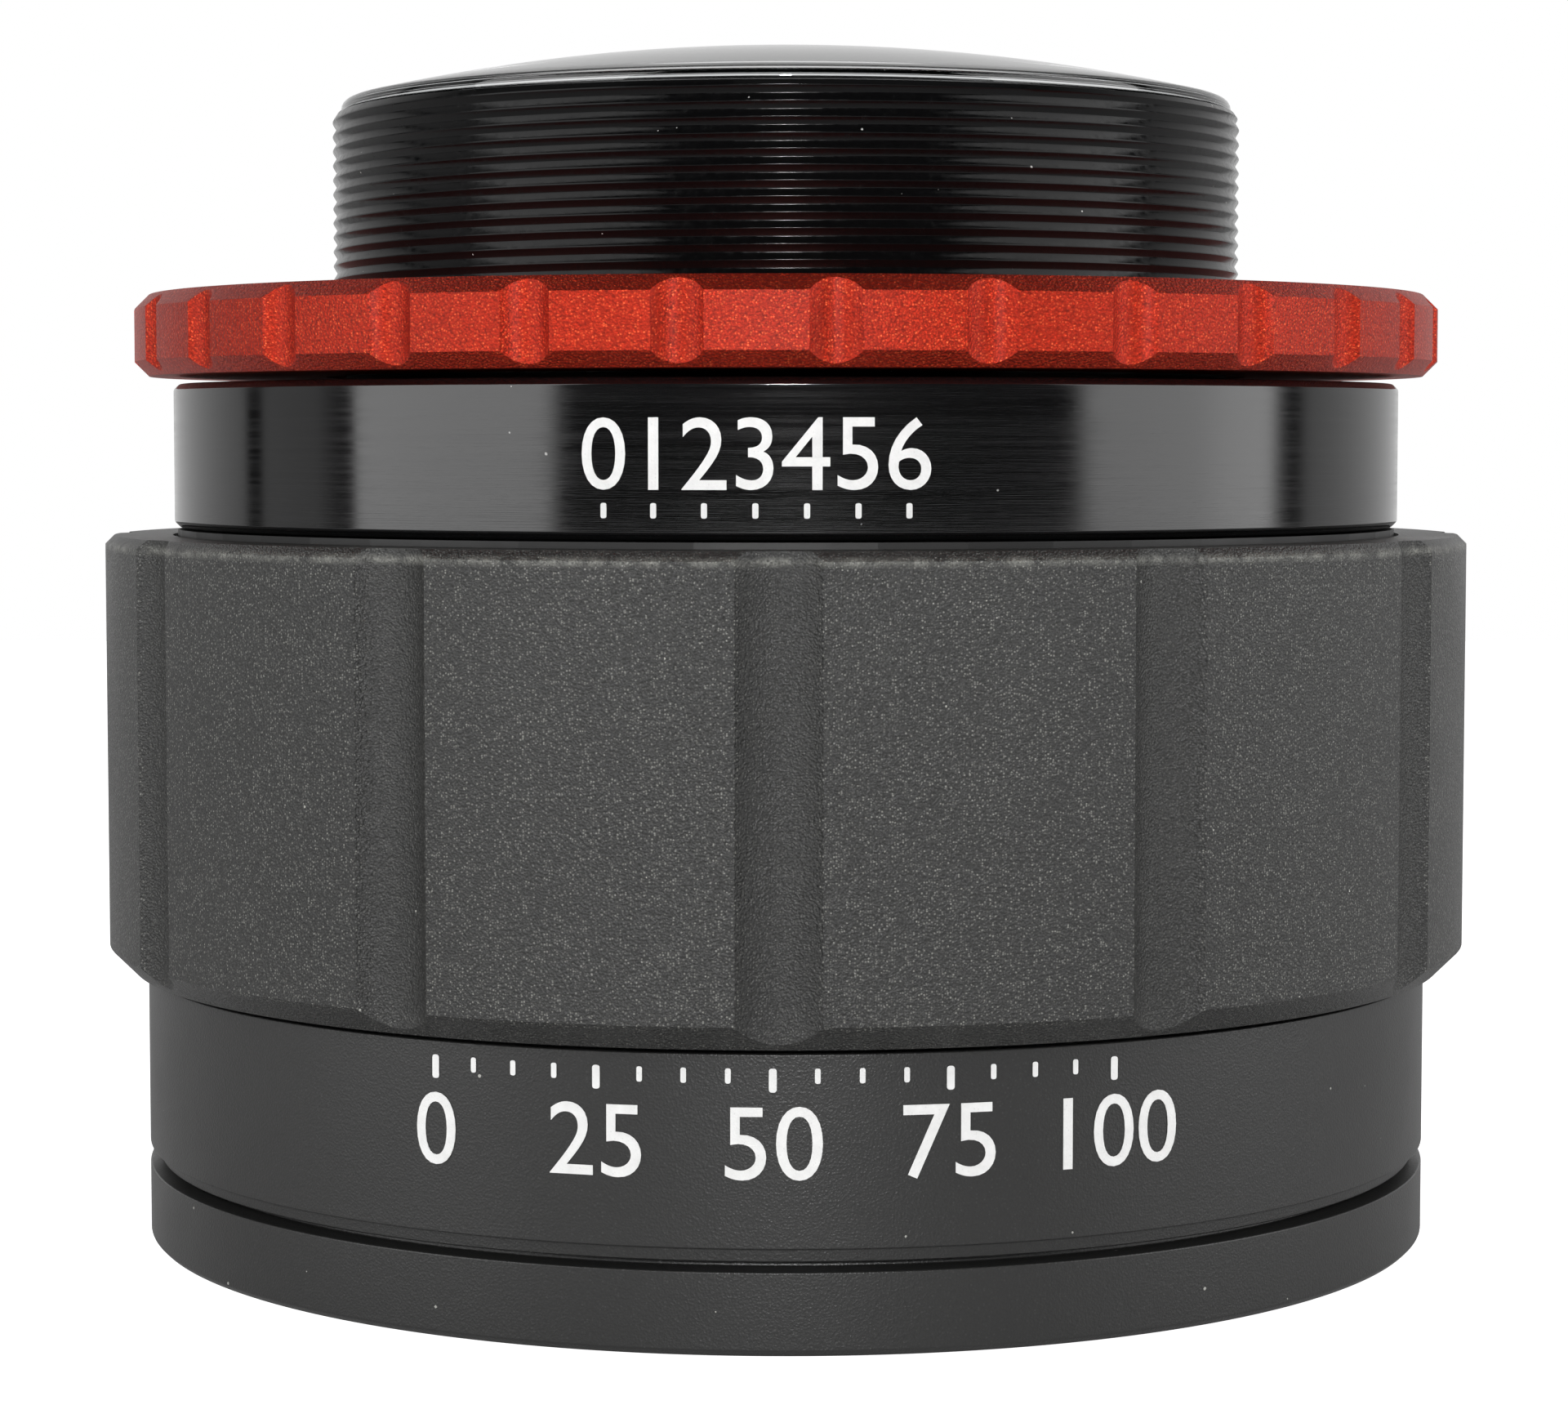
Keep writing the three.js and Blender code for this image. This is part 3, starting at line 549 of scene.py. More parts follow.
def red_finish(base):
    """Bead-blasted metal under red dye, with a clear skin that goes pale under side light."""
    material, tree, shader, place = new_finish("red_anodised", {
        "Metallic": 0.95, "Coat Weight": 0.25, "Coat Roughness": 0.45, "Coat IOR": 1.5})
    grain = effect(tree, "blast_grain", place, grain=0.13 * MM, share=0.6)
    haze = effect(tree, "mottle", place, patch=6.0 * MM)["Amount"]
    body = mixed(tree, haze, lighter(base, 0.9), lighter(base, 1.1))
    grained = mixed(tree, remap(tree, grain["Height"], 0.3, 0.9, 0.0, 0.9), body, lighter(base, 0.35))
    # Painted highlights: bright red spots in the base colour stand in for glints of light on the grain.
    # These grains are also a little smoother.
    glint = mixed(tree, grain["Glint"], grained, PAINTED_RED_GLINT)
    feed(shader, "Base Color", glint)
    feed(shader, "Roughness", between(tree, grain["Glint"], 0.45, 0.34))
    bump(tree, shader, grain["Height"], 8.0e-5)
    return material


def glass_finish(name, tint, ior):
    """Polished glass with a trace of wiping marks."""
    material, tree, shader, place = new_finish(name, {
        "Base Color": tint, "IOR": ior, "Transmission Weight": 1.0})
    smear = effect(tree, "mottle", place, patch=4.0 * MM)["Amount"]
    feed(shader, "Roughness", remap(tree, smear, 0.4, 1.0, 0.02, 0.08))
    return material


def plain_finish(name, base, roughness, metallic, grain_size, depth, line_spacing=None):
    """Matt or turned finish of an inner piece."""
    material, tree, shader, place = new_finish(name, {"Metallic": metallic})
    grain = effect(tree, "blast_grain", place, grain=grain_size)
    haze = effect(tree, "mottle", place, patch=5.0 * MM)["Amount"]
    height = grain["Height"]
    if line_spacing:
        height = effect(tree, "turned_lines", place, line_spacing=line_spacing)["Height"]
    feed(shader, "Base Color", mixed(tree, haze, lighter(base, 0.85), lighter(base, 1.15)))
    uneven = between(tree, haze, roughness + 0.06, roughness - 0.06)
    feed(shader, "Roughness", uneven)
    bump(tree, shader, height, depth)
    return material


def print_finish(base):
    """Pad-printed white, slightly uneven."""
    material, tree, shader, place = new_finish("print_white", {"Roughness": 0.5})
    grain = effect(tree, "blast_grain", place, grain=0.09 * MM)
    haze = effect(tree, "mottle", place, patch=0.6 * MM)["Amount"]
    uneven = mixed(tree, haze, lighter(base, 0.9), base)
    feed(shader, "Base Color", mixed(tree, grain["Glint"], uneven, lighter(base, 0.8)))
    bump(tree, shader, grain["Height"], 0.5e-5)
    return material


def floor_finish():
    """Matt white that the camera sees as brightly as the white behind it."""
    material, tree, shader, place = new_finish("pale_floor", {
        "Roughness": 0.9, "IOR": 1.2, "Emission Strength": 1.0})
    shade_of_white = effect(tree, "mottle", place, patch=90.0 * MM)["Amount"]
    feed(shader, "Base Color", mixed(tree, shade_of_white, *FLOOR_WHITES))
    straight = node(tree, "LightPath").outputs["Is Camera Ray"]
    feed(shader, "Emission Color", mixed(tree, straight, BLACK, FLOOR_SEEN))
    return material


FINISHES = {}


def make_finishes(colours):
    for make in (make_blast_grain, make_turned_lines, make_dust, make_rubbed_edge, make_mottle):
        make()
    FINISHES.update({
        "polished": polished_finish(tuple(colours.gloss_black)),
        "thread": thread_finish(tuple(colours.gloss_black)),
        "blasted": blasted_finish(
            tuple(colours.grip_black), outer_radius("grip_ring"), high("grip_ring") - 0.5 * MM),
        "satin": satin_finish(tuple(colours.barrel_black)),
        "red": red_finish(tuple(colours.lock_red)),
        "print": print_finish(tuple(colours.print_white)),
        "lens": glass_finish("lens_glass", (0.97, 0.985, 0.99, 1.0), 1.6),
        "window": glass_finish("window_glass", (0.98, 0.99, 0.99, 1.0), 1.52),
        "inner": plain_finish(
            "inner_black", (0.018, 0.018, 0.019, 1.0), roughness=0.62, metallic=0.2,
            grain_size=0.08 * MM, depth=0.8e-5),
        "steel": plain_finish(
            "plain_steel", (0.52, 0.52, 0.54, 1.0), roughness=0.32, metallic=1.0,
            grain_size=0.05 * MM, depth=0.2e-5, line_spacing=0.04 * MM),
        "brass": plain_finish(
            "turned_brass", (0.62, 0.44, 0.17, 1.0), roughness=0.3, metallic=1.0,
            grain_size=0.05 * MM, depth=0.2e-5, line_spacing=0.04 * MM),
        "slip": plain_finish(
            "slip_plastic", (0.02, 0.02, 0.02, 1.0), roughness=0.45, metallic=0.0,
            grain_size=0.06 * MM, depth=0.3e-5),
    })


# ---- Pieces ----
def thread_skin(radius, pitch, bottom, top):
    """The skin of the mounting thread: one pitch of its outline, run up a helix and trimmed level."""
    root, root_flat, crest_round = radius - 0.18 * MM, 0.10 * MM, 0.10 * MM
    crest_height = (root_flat + pitch) / 2
    crest = [
        (radius - crest_round * (1 - math.cos(math.radians(tilt))),
         crest_height + crest_round * math.sin(math.radians(tilt)))
        for tilt in (-30, -15, 0, 15, 30)]
    profile = [(root, 0.0), (root, root_flat), *crest, (root, pitch)]
    select_none()
    start = bottom - pitch
    bpy.ops.mesh.primitive_plane_add(size=pitch, location=(root, 0, start))
    skin = named("rear_barrel")
    edit_mode()
    bpy.ops.mesh.select_mode(type="VERT")
    select_mesh()
    bpy.ops.mesh.merge(type="CENTER")
    for (across, up), (next_across, next_up) in zip(profile, profile[1:]):
        bpy.ops.mesh.extrude_region_move(
            TRANSFORM_OT_translate={"value": (next_across - across, 0, next_up - up)})
    object_mode()
    turns = math.ceil((top - bottom) / pitch) + 2
    use_modifier(skin, "SCREW", axis="Z", screw_offset=pitch, iterations=turns, steps=THREAD_STEPS,
                 render_steps=THREAD_STEPS, use_merge_vertices=True, merge_threshold=SAME_PLACE * 10,
                 use_normal_calculate=True)
    edit_mode()
    select_mesh()
    bpy.ops.mesh.remove_doubles(threshold=SAME_PLACE * 10)
    for height, direction in ((top, 1), (bottom, -1)):
        select_mesh()
        bpy.ops.mesh.bisect(
            plane_co=(0, 0, height), plane_no=(0, 0, direction), clear_outer=True, threshold=SAME_PLACE)
    object_mode()
    return skin


class OBJECTIVE_OT_rear_barrel(bpy.types.Operator):
    """Neck with its mounting thread, and the polished flange under it"""

    bl_idname = "objective.rear_barrel"
    bl_label = "Rear barrel"

    def execute(self, context):
        sizes = context.scene.objective_sizes
        neck, rim, foot = sizes.neck_radius, high("rear_barrel"), low("rear_barrel")
        flange = outer_radius("rear_barrel")
        flange_top = low("lock_ring") - 0.4 * MM
        chamfer, relief, ledge = 0.25 * MM, 0.6 * MM, 1.3 * MM
        retainer_seat = high("rear_retainer") - RETAINER_SEAT
        bore = outer_radius("rear_retainer") + CLEARANCE
        lens_bore = outer_radius("rear_crown_lens") + CLEARANCE
        lens_seat = low("rear_flint_lens") + CLEARANCE
        socket = outer_radius("guide_tube") + CLEARANCE
        web = high("guide_tube") + CLEARANCE
        outline = [
            (neck - chamfer, rim), (bore, rim), (bore, retainer_seat), (lens_bore, retainer_seat),
            (lens_bore, lens_seat), (lens_bore - ledge, lens_seat), (lens_bore - ledge, web),
            (socket, web), (socket, foot), (flange - SMALL_EDGE, foot), (flange, foot + SMALL_EDGE),
            (flange, flange_top - SMALL_EDGE), (flange - SMALL_EDGE, flange_top),
            (neck - relief, flange_top), (neck - relief, flange_top + relief)]
        body = first_ring("flange", *outline[0])
        draw_rings(outline)
        object_mode()
        break_edges(body, sizes.broken_edge)
        run_in = 0.3 * MM
        thread_foot, thread_head = flange_top + relief + run_in, rim - chamfer
        skin = thread_skin(neck, sizes.thread_pitch, thread_foot, thread_head)
        only(skin)
        body.select_set(True)
        bpy.ops.object.join()
        edit_mode()
        margin = 0.02 * MM
        for bottom, top in ((thread_head, rim), (thread_foot - run_in, thread_foot)):
            pick_open_edges(skin, lambda place: bottom - margin < place.z < top + margin)
            bpy.ops.mesh.bridge_edge_loops()
        close_up()
        shade(skin)
        seat(skin, "housing", "gloss_black", FINISHES["polished"], "rear_barrel")
        skin.data.materials.append(FINISHES["thread"])
        for face in skin.data.polygons:
            if face.center.z > thread_foot and face.center.xy.length > bore + 0.2 * MM:
                face.material_index = 1
        return {"FINISHED"}


class OBJECTIVE_OT_lock_ring(bpy.types.Operator):
    """Scalloped lock ring that turns on the mounting thread"""

    bl_idname = "objective.lock_ring"
    bl_label = "Lock ring"

    def execute(self, context):
        sizes = context.scene.objective_sizes
        bottom, top = low("lock_ring"), high("lock_ring")
        bore, chamfer, lead_in = sizes.neck_radius + 0.15 * MM, sizes.lock_chamfer, 0.3 * MM
        radius = sizes.lock_radius
        ring = turned("lock_ring", [
            (bore + lead_in, bottom), (radius - chamfer, bottom), (radius, bottom + chamfer),
            (radius, top - chamfer), (radius - chamfer, top), (bore + lead_in, top),
            (bore, top - lead_in), (bore, bottom + lead_in)], turn_onto(sizes.scallop_start))
        cut_hollows(ring, "lock_ring", radius, sizes.scallop_width, sizes.scallop_depth,
                    sizes.scallop_start, sizes.scallops)
        break_edges(ring, sizes.broken_edge)
        shade(ring)
        seat(ring, "lock", "red_anodised", FINISHES["red"], "lock_ring")
        return {"FINISHED"}


class OBJECTIVE_OT_grip_ring(bpy.types.Operator):
    """Fluted focusing grip"""

    bl_idname = "objective.grip_ring"
    bl_label = "Grip ring"

    def execute(self, context):
        sizes = context.scene.objective_sizes
        bottom, top, radius = low("grip_ring"), high("grip_ring"), sizes.grip_radius
        bore = outer_radius("cam_sleeve") + CLEARANCE
        lip_bottom = high("cam_sleeve") + CLEARANCE
        lip_top = top - 0.3 * MM
        lip_bore = outer_radius("guide_tube") + 0.15 * MM
        ring = turned("grip_ring", [
            (bore, bottom), (radius - sizes.grip_foot, bottom), (radius, bottom + sizes.grip_foot),
            (radius, top - sizes.grip_top), (radius - sizes.grip_top, top), (bore + CLEARANCE, top),
            (bore + CLEARANCE, lip_top), (lip_bore, lip_top), (lip_bore, lip_bottom), (bore, lip_bottom)],
            turn_onto(sizes.flute_start))
        cut_hollows(ring, "grip_ring", radius, sizes.flute_width, sizes.flute_depth,
                    sizes.flute_start, sizes.flutes)
        screw_low, screw_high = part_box("grip_screw_1")
        screw_place = (screw_low + screw_high) / 2
        screw_distance, screw_angle = screw_place.xy.length, math.atan2(screw_place.y, screw_place.x)
        head_radius = (screw_high.x - screw_low.x) / 2 + CLEARANCE
        hole_radius = head_radius - 0.4 * MM
        head_seat = lip_top - 1.2 * MM
        for cutter_radius, cut_bottom, cut_top in (
                (head_radius, head_seat, lip_top + PAST), (hole_radius, lip_bottom - PAST, lip_top)):
            cut(ring, round_cutter(cutter_radius, screw_distance, screw_angle, cut_bottom, cut_top, 3))
        break_edges(ring, sizes.broken_edge)
        shade(ring)
        seat(ring, "grip", "bead_blasted_black", FINISHES["blasted"], "grip_ring")
        return {"FINISHED"}


class OBJECTIVE_OT_lower_barrel(bpy.types.Operator):
    """Fixed barrel under the grip, with the ledge in the groove under it"""

    bl_idname = "objective.lower_barrel"
    bl_label = "Lower barrel"

    def execute(self, context):
        sizes = context.scene.objective_sizes
        radius, bottom, top = outer_radius("lower_barrel"), low("lower_barrel"), high("lower_barrel")
        ledge, ledge_step, groove_top = bottom, 0.55 * MM, bottom + 0.7 * MM
        slip_seat = low("lower_slip_ring") - CLEARANCE
        socket = outer_radius("guide_tube") + CLEARANCE
        stop, stop_height = low("guide_tube") - CLEARANCE, 1.0 * MM
        stop_radius = outer_radius("guide_tube") - 1.5 * MM
        thread_radius, wall = radius - 2.7 * MM, 0.6 * MM
        barrel = turned("lower_barrel", [
            (thread_radius, ledge), (radius - ledge_step, ledge), (radius - ledge_step, groove_top),
            (radius, groove_top), (radius, top), (radius - wall, top), (radius - wall, slip_seat),
            (socket, slip_seat), (socket, stop), (stop_radius, stop), (stop_radius, stop - stop_height),
            (thread_radius, stop - stop_height)])
        break_edges(barrel, sizes.broken_edge)
        shade(barrel)
        seat(barrel, "housing", "satin_black", FINISHES["satin"], "lower_barrel")
        return {"FINISHED"}


class OBJECTIVE_OT_front_ring(bpy.types.Operator):
    """Front ring that holds the window"""

    bl_idname = "objective.front_ring"
    bl_label = "Front ring"

    def execute(self, context):
        sizes = context.scene.objective_sizes
        radius, bottom, top = outer_radius("front_ring"), low("front_ring"), high("front_ring")
        face_top, groove_depth, lip_width, edge = 3.95 * MM, 1.4 * MM, 1.6 * MM, SMALL_EDGE
        neck_foot = low("lower_barrel") - CLEARANCE
        thread_radius = radius - 2.8 * MM
        window_bore = outer_radius("front_window") + CLEARANCE
        lip = low("front_window") - CLEARANCE
        aperture = window_bore - lip_width
        ring = turned("front_ring", [
            (aperture + lip_width, bottom), (radius - edge, bottom), (radius, bottom + edge),
            (radius, face_top), (radius - groove_depth, face_top), (radius - groove_depth, neck_foot),
            (thread_radius, neck_foot), (thread_radius, top), (window_bore, top), (window_bore, lip),
            (aperture, lip), (aperture, lip - edge)])
        break_edges(ring, sizes.broken_edge)
        shade(ring)
        seat(ring, "housing", "satin_black", FINISHES["satin"], "front_ring")
        return {"FINISHED"}


def lens(name, bottom_face, side, top_face):
    """A closed lens. A face is (radius of curvature, edge radius, edge height); a negative one dips."""

    def rings(face):
        curve, edge_radius, edge_height = face
        edge_sag = sag(abs(curve), edge_radius)
        direction = math.copysign(1, curve)
        return [
            (edge_radius * k / LENS_RINGS,
             edge_height + direction * (edge_sag - sag(abs(curve), edge_radius * k / LENS_RINGS)))
            for k in range(1, LENS_RINGS + 1)], edge_height + direction * edge_sag

    (below, lowest), (above, highest) = rings(bottom_face), rings(top_face)
    outline = [*below, *side, *reversed(above)]
    piece = first_ring(name, *outline[0])
    draw_rings(outline)
    for height, pole in ((outline[-1][1], highest), (outline[0][1], lowest)):
        pick_open_edges(piece, lambda place: abs(place.z - height) < 1e-6)
        bpy.ops.mesh.extrude_region_move(TRANSFORM_OT_translate={"value": (0, 0, pole - height)})
        bpy.ops.mesh.merge(type="CENTER")
    close_up()
    only(piece)
    bpy.ops.object.shade_smooth_by_angle(angle=SHARP_ANGLE)
    return piece


class OBJECTIVE_OT_lenses(bpy.types.Operator):
    """Rear doublet with its dome, moving doublet and front window"""

    bl_idname = "objective.lenses"
    bl_label = "Lenses"

    def execute(self, context):
        dome, rear_cement, rear_inner = 100 * MM, 60 * MM, 150 * MM
        moving_top, moving_cement, moving_front = 140 * MM, 112 * MM, 200 * MM
        flat = 1000.0               # a radius of curvature that leaves a face flat
        wide, apex = outer_radius("rear_crown_lens"), high("rear_crown_lens")
        radius = outer_radius("rear_flint_lens")
        clear = radius - 0.6 * MM
        shoulder = high("rear_retainer") - RETAINER_SEAT
        lip = high("rear_barrel") + CLEARANCE
        crown_edge = low("rear_crown_lens") + sag(rear_cement, radius)
        rounding, slope = 0.48 * MM, math.asin(wide / dome)
        dome_radius = wide - rounding * (1 - math.sin(slope))
        dome_edge = apex - sag(dome, dome_radius)
        rounded = [
            (wide - rounding * (1 - math.cos(turn)),
             dome_edge - rounding * (math.cos(slope) - math.sin(turn)))
            for turn in ((math.pi / 2 - slope) * k / 4 for k in range(4))]
        crown = lens("rear_crown_lens", (-rear_cement, radius, crown_edge),
                     [(radius, shoulder), (clear, shoulder), (clear, lip), (wide, lip), *rounded],
                     (dome, dome_radius, dome_edge))
        flint_edge = low("rear_flint_lens") + sag(rear_inner, radius)
        flint = lens("rear_flint_lens", (-rear_inner, radius, flint_edge), [],
                     (-rear_cement, radius, high("rear_flint_lens")))
        radius = outer_radius("moving_flint_lens")
        moving_flint = lens("moving_flint_lens", (moving_cement, radius, low("moving_flint_lens")), [],
                            (-moving_top, radius, high("moving_flint_lens")))
        moving_crown = lens("moving_crown_lens", (moving_front, radius, low("moving_crown_lens")), [],
                            (moving_cement, radius, high("moving_crown_lens") - sag(moving_cement, radius)))
        radius, bottom, top, edge = (
            outer_radius("front_window"), low("front_window"), high("front_window"), SMALL_EDGE)
        window = lens("front_window", (flat, radius - edge, bottom),
                      [(radius, bottom + edge), (radius, top - edge)], (flat, radius - edge, top))
        for piece, body in (
                (crown, "housing"), (flint, "housing"), (moving_flint, "carriage"),
                (moving_crown, "carriage")):
            seat(piece, body, "lens_glass", FINISHES["lens"], piece.name.split(".")[0])
        seat(window, "housing", "window_glass", FINISHES["window"], "front_window")
        return {"FINISHED"}


def retainer(node_name, wall, notched_top, edge):
    """A threaded retaining ring with two spanner notches."""
    bottom, top, radius = low(node_name), high(node_name), outer_radius(node_name)
    ring = turned(node_name, [
        (radius - wall, bottom), (radius, bottom), (radius, top), (radius - wall, top)])
    select_none()
    notch_width, notch_depth = 2.0 * MM, 0.6 * MM
    height = top if notched_top else bottom
    bpy.ops.mesh.primitive_cube_add(size=1, location=(0, 0, height),
                                    scale=(2.2 * radius, notch_width, 2 * notch_depth))
    cut(ring, named("cutter"))
    break_edges(ring, edge)
    shade(ring)
    return ring


class OBJECTIVE_OT_retainers(bpy.types.Operator):
    """Notched rings that hold the lenses and the window"""

    bl_idname = "objective.retainers"
    bl_label = "Retaining rings"

    def execute(self, context):
        edge = context.scene.objective_sizes.broken_edge
        for name, wall, notched_top, body in (
                ("rear_retainer", 0.9 * MM, True, "housing"),
                ("window_retainer", 1.8 * MM, True, "housing"),
                ("moving_retainer", 1.8 * MM, False, "carriage")):
            ring = retainer(name, wall, notched_top, edge)
            seat(ring, body, "inner_black", FINISHES["inner"], name)
        return {"FINISHED"}


# ---- Printed scales ----
PRINT_LIFT = 0.02 * MM
PRINT_THICKNESS = 0.03 * MM


def wrap(piece, radius, around, height):
    """Bends a flat print, drawn with x to the right and y upwards, onto the barrel. Angle 0 faces -Y."""
    for vertex in piece.data.vertices:
        place = vertex.co.copy()
        turn = around + place.x / radius
        reach = radius + PRINT_LIFT + place.z
        vertex.co = Vector((reach * math.sin(turn), -reach * math.cos(turn), height + place.y))


def printed_number(text, digit_height, radius, around, height):
    select_none()
    bpy.ops.object.text_add()
    words = bpy.context.active_object
    words.data.body = text
    words.data.align_x = "CENTER"
    words.data.resolution_u = 6
    bpy.ops.object.convert(target="MESH")
    piece = named("number")
    corners = [vertex.co for vertex in piece.data.vertices]
    base, top = min(c.y for c in corners), max(c.y for c in corners)
    scale = digit_height / (top - base)
    for vertex in piece.data.vertices:
        vertex.co = Vector((vertex.co.x * scale, (vertex.co.y - (base + top) / 2) * scale, 0))
    use_modifier(piece, "SOLIDIFY", thickness=PRINT_THICKNESS, offset=1)
    wrap(piece, radius, around, height)
    return piece


def printed_tick(width, tall, radius, around, height):
    """A short stroke with rounded ends."""
    select_none()
    bpy.ops.mesh.primitive_plane_add(size=1)
    bpy.context.active_object.scale = (width, tall, 1)
    piece = named("tick")
    edit_mode()
    select_mesh()
    bpy.ops.mesh.bevel(offset=width * 0.35, segments=3, affect="VERTICES")
    object_mode()
    use_modifier(piece, "SOLIDIFY", thickness=PRINT_THICKNESS, offset=1)
    wrap(piece, radius, around, height)
    return piece


def join_print(name, parts):
    """Makes one piece of a whole printed scale."""
    only(parts[0])
    for part in parts[1:]:
        part.select_set(True)
    bpy.ops.object.join()
    piece = named(name)
    edit_mode()
    close_up()
    bpy.ops.object.shade_smooth_by_angle(angle=SHARP_ANGLE)
    seat(piece, "housing", None, FINISHES["print"])


class OBJECTIVE_OT_scales(bpy.types.Operator):
    """Printed dial numbers and strokes on the flange and on the lower barrel"""

    bl_idname = "objective.scales"
    bl_label = "Printed scales"

    def execute(self, context):
        digit = context.scene.objective_sizes.digit_height
        radius = outer_radius("rear_barrel")
        middle, tick_drop = low("rear_barrel") + 3.95 * MM, 2.6 * MM
        first, step = math.radians(-14.9), math.radians(4.15)
        flange = []
        for k in range(7):
            around = first + k * step
            flange.append(printed_number(str(k), digit * 0.97, radius, around, middle))
            flange.append(printed_tick(0.28 * MM, 0.7 * MM, radius, around, middle - tick_drop))
        join_print("flange_scale", flange)
        radius = outer_radius("lower_barrel")
        middle, long_rise, short_rise = low("lower_barrel") + 5.6 * MM, 2.9 * MM, 3.1 * MM
        off_centre, step = math.radians(1.0), math.radians(13.8)
        barrel = []
        for k in range(5):
            around = (k - 2) * step - off_centre
            barrel.append(printed_number(str(25 * k), digit, radius, around, middle))
            barrel.append(printed_tick(0.36 * MM, 1.1 * MM, radius, around, middle + long_rise))
            if k < 4:
                for j in range(1, 4):
                    barrel.append(printed_tick(
                        0.26 * MM, 0.7 * MM, radius, around + j * step / 4, middle + short_rise))
        join_print("barrel_scale", barrel)
        return {"FINISHED"}


class OBJECTIVE_OT_inner_finishes(bpy.types.Operator):
    """Finishes of the inner pieces that stay as the frame has them"""

    bl_idname = "objective.inner_finishes"
    bl_label = "Inner finishes"

    def execute(self, context):
        kinds = {"slip_ring": "slip", "screw": "steel", "pin": "steel", "collar": "brass"}
        for name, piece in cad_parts.items():
            finish = next((kinds[word] for word in kinds if word in name), "inner")
            for material_slot in piece.material_slots:
                material_slot.material = FINISHES[finish]
        return {"FINISHED"}


# ---- Stage ----
FLOOR_SIZE = 1.2
CAMERA_DISTANCE = 212.2 * MM
CAMERA_HEIGHT = 42.04 * MM
CAMERA_TILT = 0.0684            # below level, in radians
CAMERA_TURN = 0.00047
CAMERA_LENS = 90.72             # in millimetres, as is the sensor's width
CAMERA_SENSOR = 36


LIGHTS = (                      # degrees round from the camera's side, height, distance, size, radiance
    ("left_softbox", -61.5, 0.26, 0.62, (0.53, 0.62), 2.3),
    ("right_softbox", 75.4, 0.26, 0.62, (0.57, 0.62), 2.05),
    ("front_lamp", 0.0, 0.16, 0.55, (0.022, 0.022), 900.0),
)
LIGHT_AIM = Vector((0, 0, 0.035))
WORLD_TURN = 4.0                # degrees that the surroundings are turned about the axis
SURROUNDINGS = (                # from in front of the object to behind it, and how bright
    (0.0, 0.015), (0.44, 0.02), (0.50, 0.38), (0.638, 0.38), (0.650, 0.015), (0.682, 0.015),
    (0.698, 0.46), (1.0, 0.78))


def soft_light(name, degrees, above, distance, size, radiance):
    """A rectangular light, seen from the object at an angle round it and aimed at its middle."""
    around = math.radians(degrees)
    place = Vector((math.sin(around) * distance, -math.cos(around) * distance, above))
    select_none()
    bpy.ops.object.light_add(type="AREA", location=place)
    lamp = bpy.context.active_object
    lamp.name = name
    lamp.rotation_euler = (LIGHT_AIM - place).to_track_quat("-Z", "Y").to_euler()
    lamp.data.shape = "RECTANGLE"
    lamp.data.size, lamp.data.size_y = size
    lamp.data.energy = radiance * math.pi * size[0] * size[1]
    lamp.visible_camera = False


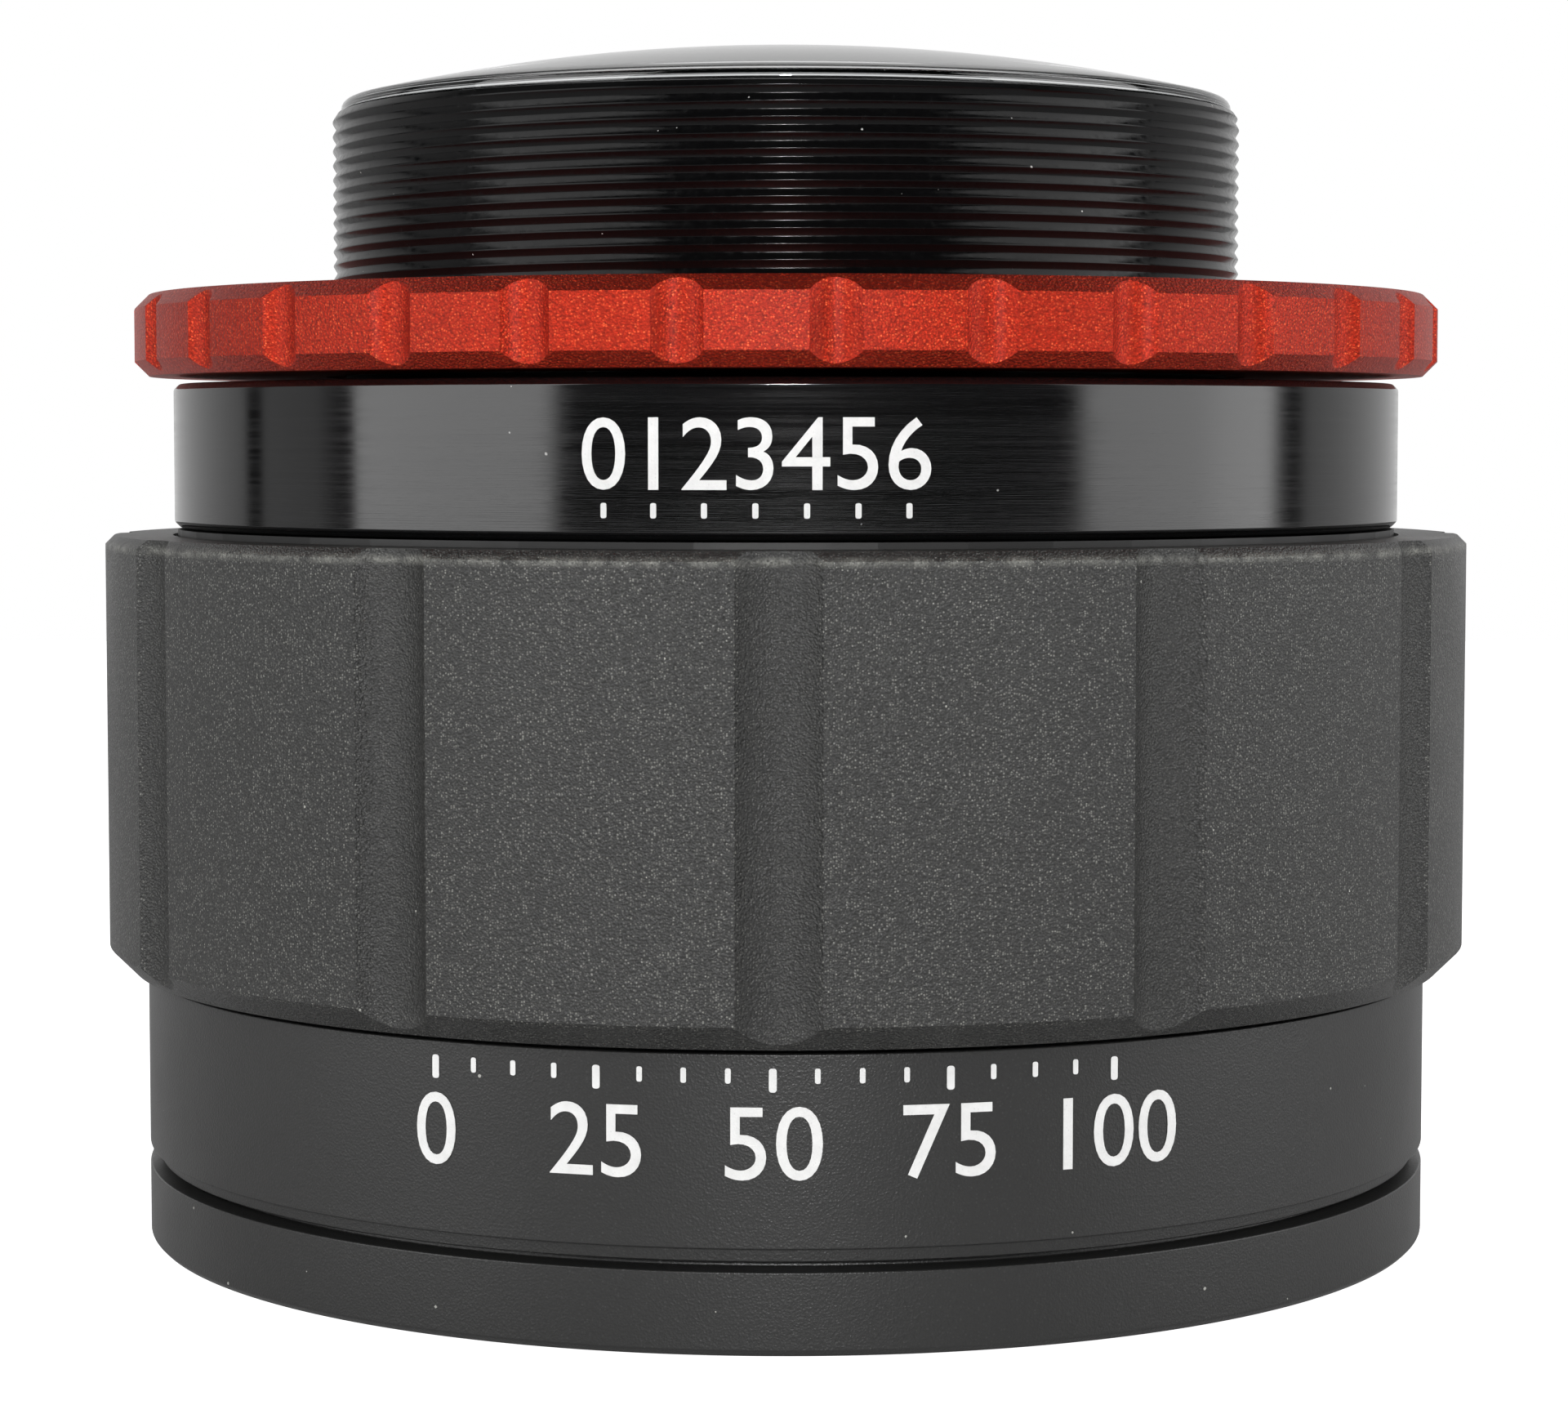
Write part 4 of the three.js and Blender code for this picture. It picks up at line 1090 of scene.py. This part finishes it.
class OBJECTIVE_OT_stage(bpy.types.Operator):
    """Pale floor, soft lights, surroundings and the camera"""

    bl_idname = "objective.stage"
    bl_label = "Stage"

    def execute(self, context):
        scene = context.scene
        scene.view_settings.view_transform = "Standard"
        select_none()
        bpy.ops.mesh.primitive_plane_add(size=FLOOR_SIZE, location=(0, 0, -0.02 * MM))
        floor = bpy.context.active_object
        floor.name = "floor"
        floor.data.materials.append(floor_finish())
        for light in LIGHTS:
            soft_light(*light)
        self.surroundings(scene)
        bpy.ops.object.camera_add(
            location=(0, -CAMERA_DISTANCE, CAMERA_HEIGHT),
            rotation=(math.pi / 2 - CAMERA_TILT, 0, CAMERA_TURN))
        camera = bpy.context.active_object
        camera.data.lens = CAMERA_LENS
        camera.data.sensor_width = CAMERA_SENSOR
        camera.data.clip_start = 0.01
        scene.camera = camera
        return {"FINISHED"}

    def surroundings(self, scene):
        """White behind the object and dim in front of it. The camera itself sees plain white all round."""
        world = bpy.data.worlds.new("studio")
        scene.world = world
        world.use_nodes = True
        tree = world.node_tree
        tree.nodes.clear()
        direction = node(tree, "TexCoord").outputs["Generated"]
        turned_round = node(tree, "Mapping", {
            "Vector": direction, "Rotation": (0, 0, math.radians(WORLD_TURN))}).outputs[0]
        parts = node(tree, "SeparateXYZ", {"Vector": turned_round}).outputs
        ramp = node(tree, "ValToRGB", {"Fac": remap(tree, parts["Y"], -1.0, 1.0)})
        overhead = remap(tree, parts["Z"], 0.45, 0.75, 1.0, 0.3)
        elements = ramp.color_ramp.elements
        for place, level in SURROUNDINGS[1:-1]:
            elements.new(place)
        for element, (place, level) in zip(elements, SURROUNDINGS):
            element.position = place
            element.color = (level, level, level, 1.0)
        lit = node(tree, "Background", {"Color": ramp.outputs["Color"], "Strength": overhead})
        seen = node(tree, "Background", {"Color": (1, 1, 1, 1), "Strength": 1.0})
        straight = node(tree, "LightPath").outputs["Is Camera Ray"]
        either = node(tree, "MixShader", {0: straight, 1: lit.outputs[0], 2: seen.outputs[0]})
        node(tree, "OutputWorld", {"Surface": either.outputs[0]})


class OBJECTIVE_PT_sidebar(bpy.types.Panel):
    """Sizes, colours and pieces of the objective"""

    bl_idname = "OBJECTIVE_PT_sidebar"
    bl_label = "Variable focus objective"
    bl_space_type = "VIEW_3D"
    bl_region_type = "UI"
    bl_category = "Objective"

    def draw(self, context):
        for group in (context.scene.objective_sizes, context.scene.objective_finish):
            box = self.layout.box()
            for name in group.__annotations__:
                box.prop(group, name)
        for operator in PIECES:
            self.layout.operator(operator.bl_idname)


PIECES = (
    OBJECTIVE_OT_rear_barrel,
    OBJECTIVE_OT_lock_ring,
    OBJECTIVE_OT_grip_ring,
    OBJECTIVE_OT_lower_barrel,
    OBJECTIVE_OT_front_ring,
    OBJECTIVE_OT_lenses,
    OBJECTIVE_OT_retainers,
    OBJECTIVE_OT_scales,
    OBJECTIVE_OT_inner_finishes,
    OBJECTIVE_OT_stage,
)
CLASSES = (ObjectiveSizes, ObjectiveFinish, *PIECES, OBJECTIVE_PT_sidebar)


def register():
    for each in CLASSES:
        bpy.utils.register_class(each)
    bpy.types.Scene.objective_sizes = bpy.props.PointerProperty(type=ObjectiveSizes)
    bpy.types.Scene.objective_finish = bpy.props.PointerProperty(type=ObjectiveFinish)


def unregister():
    del bpy.types.Scene.objective_finish
    del bpy.types.Scene.objective_sizes
    for each in reversed(CLASSES):
        bpy.utils.unregister_class(each)


def main():
    register()
    make_finishes(bpy.context.scene.objective_finish)
    for operator in PIECES:
        group, name = operator.bl_idname.split(".")
        getattr(getattr(bpy.ops, group), name)()


if __name__ == "__main__":
    main()
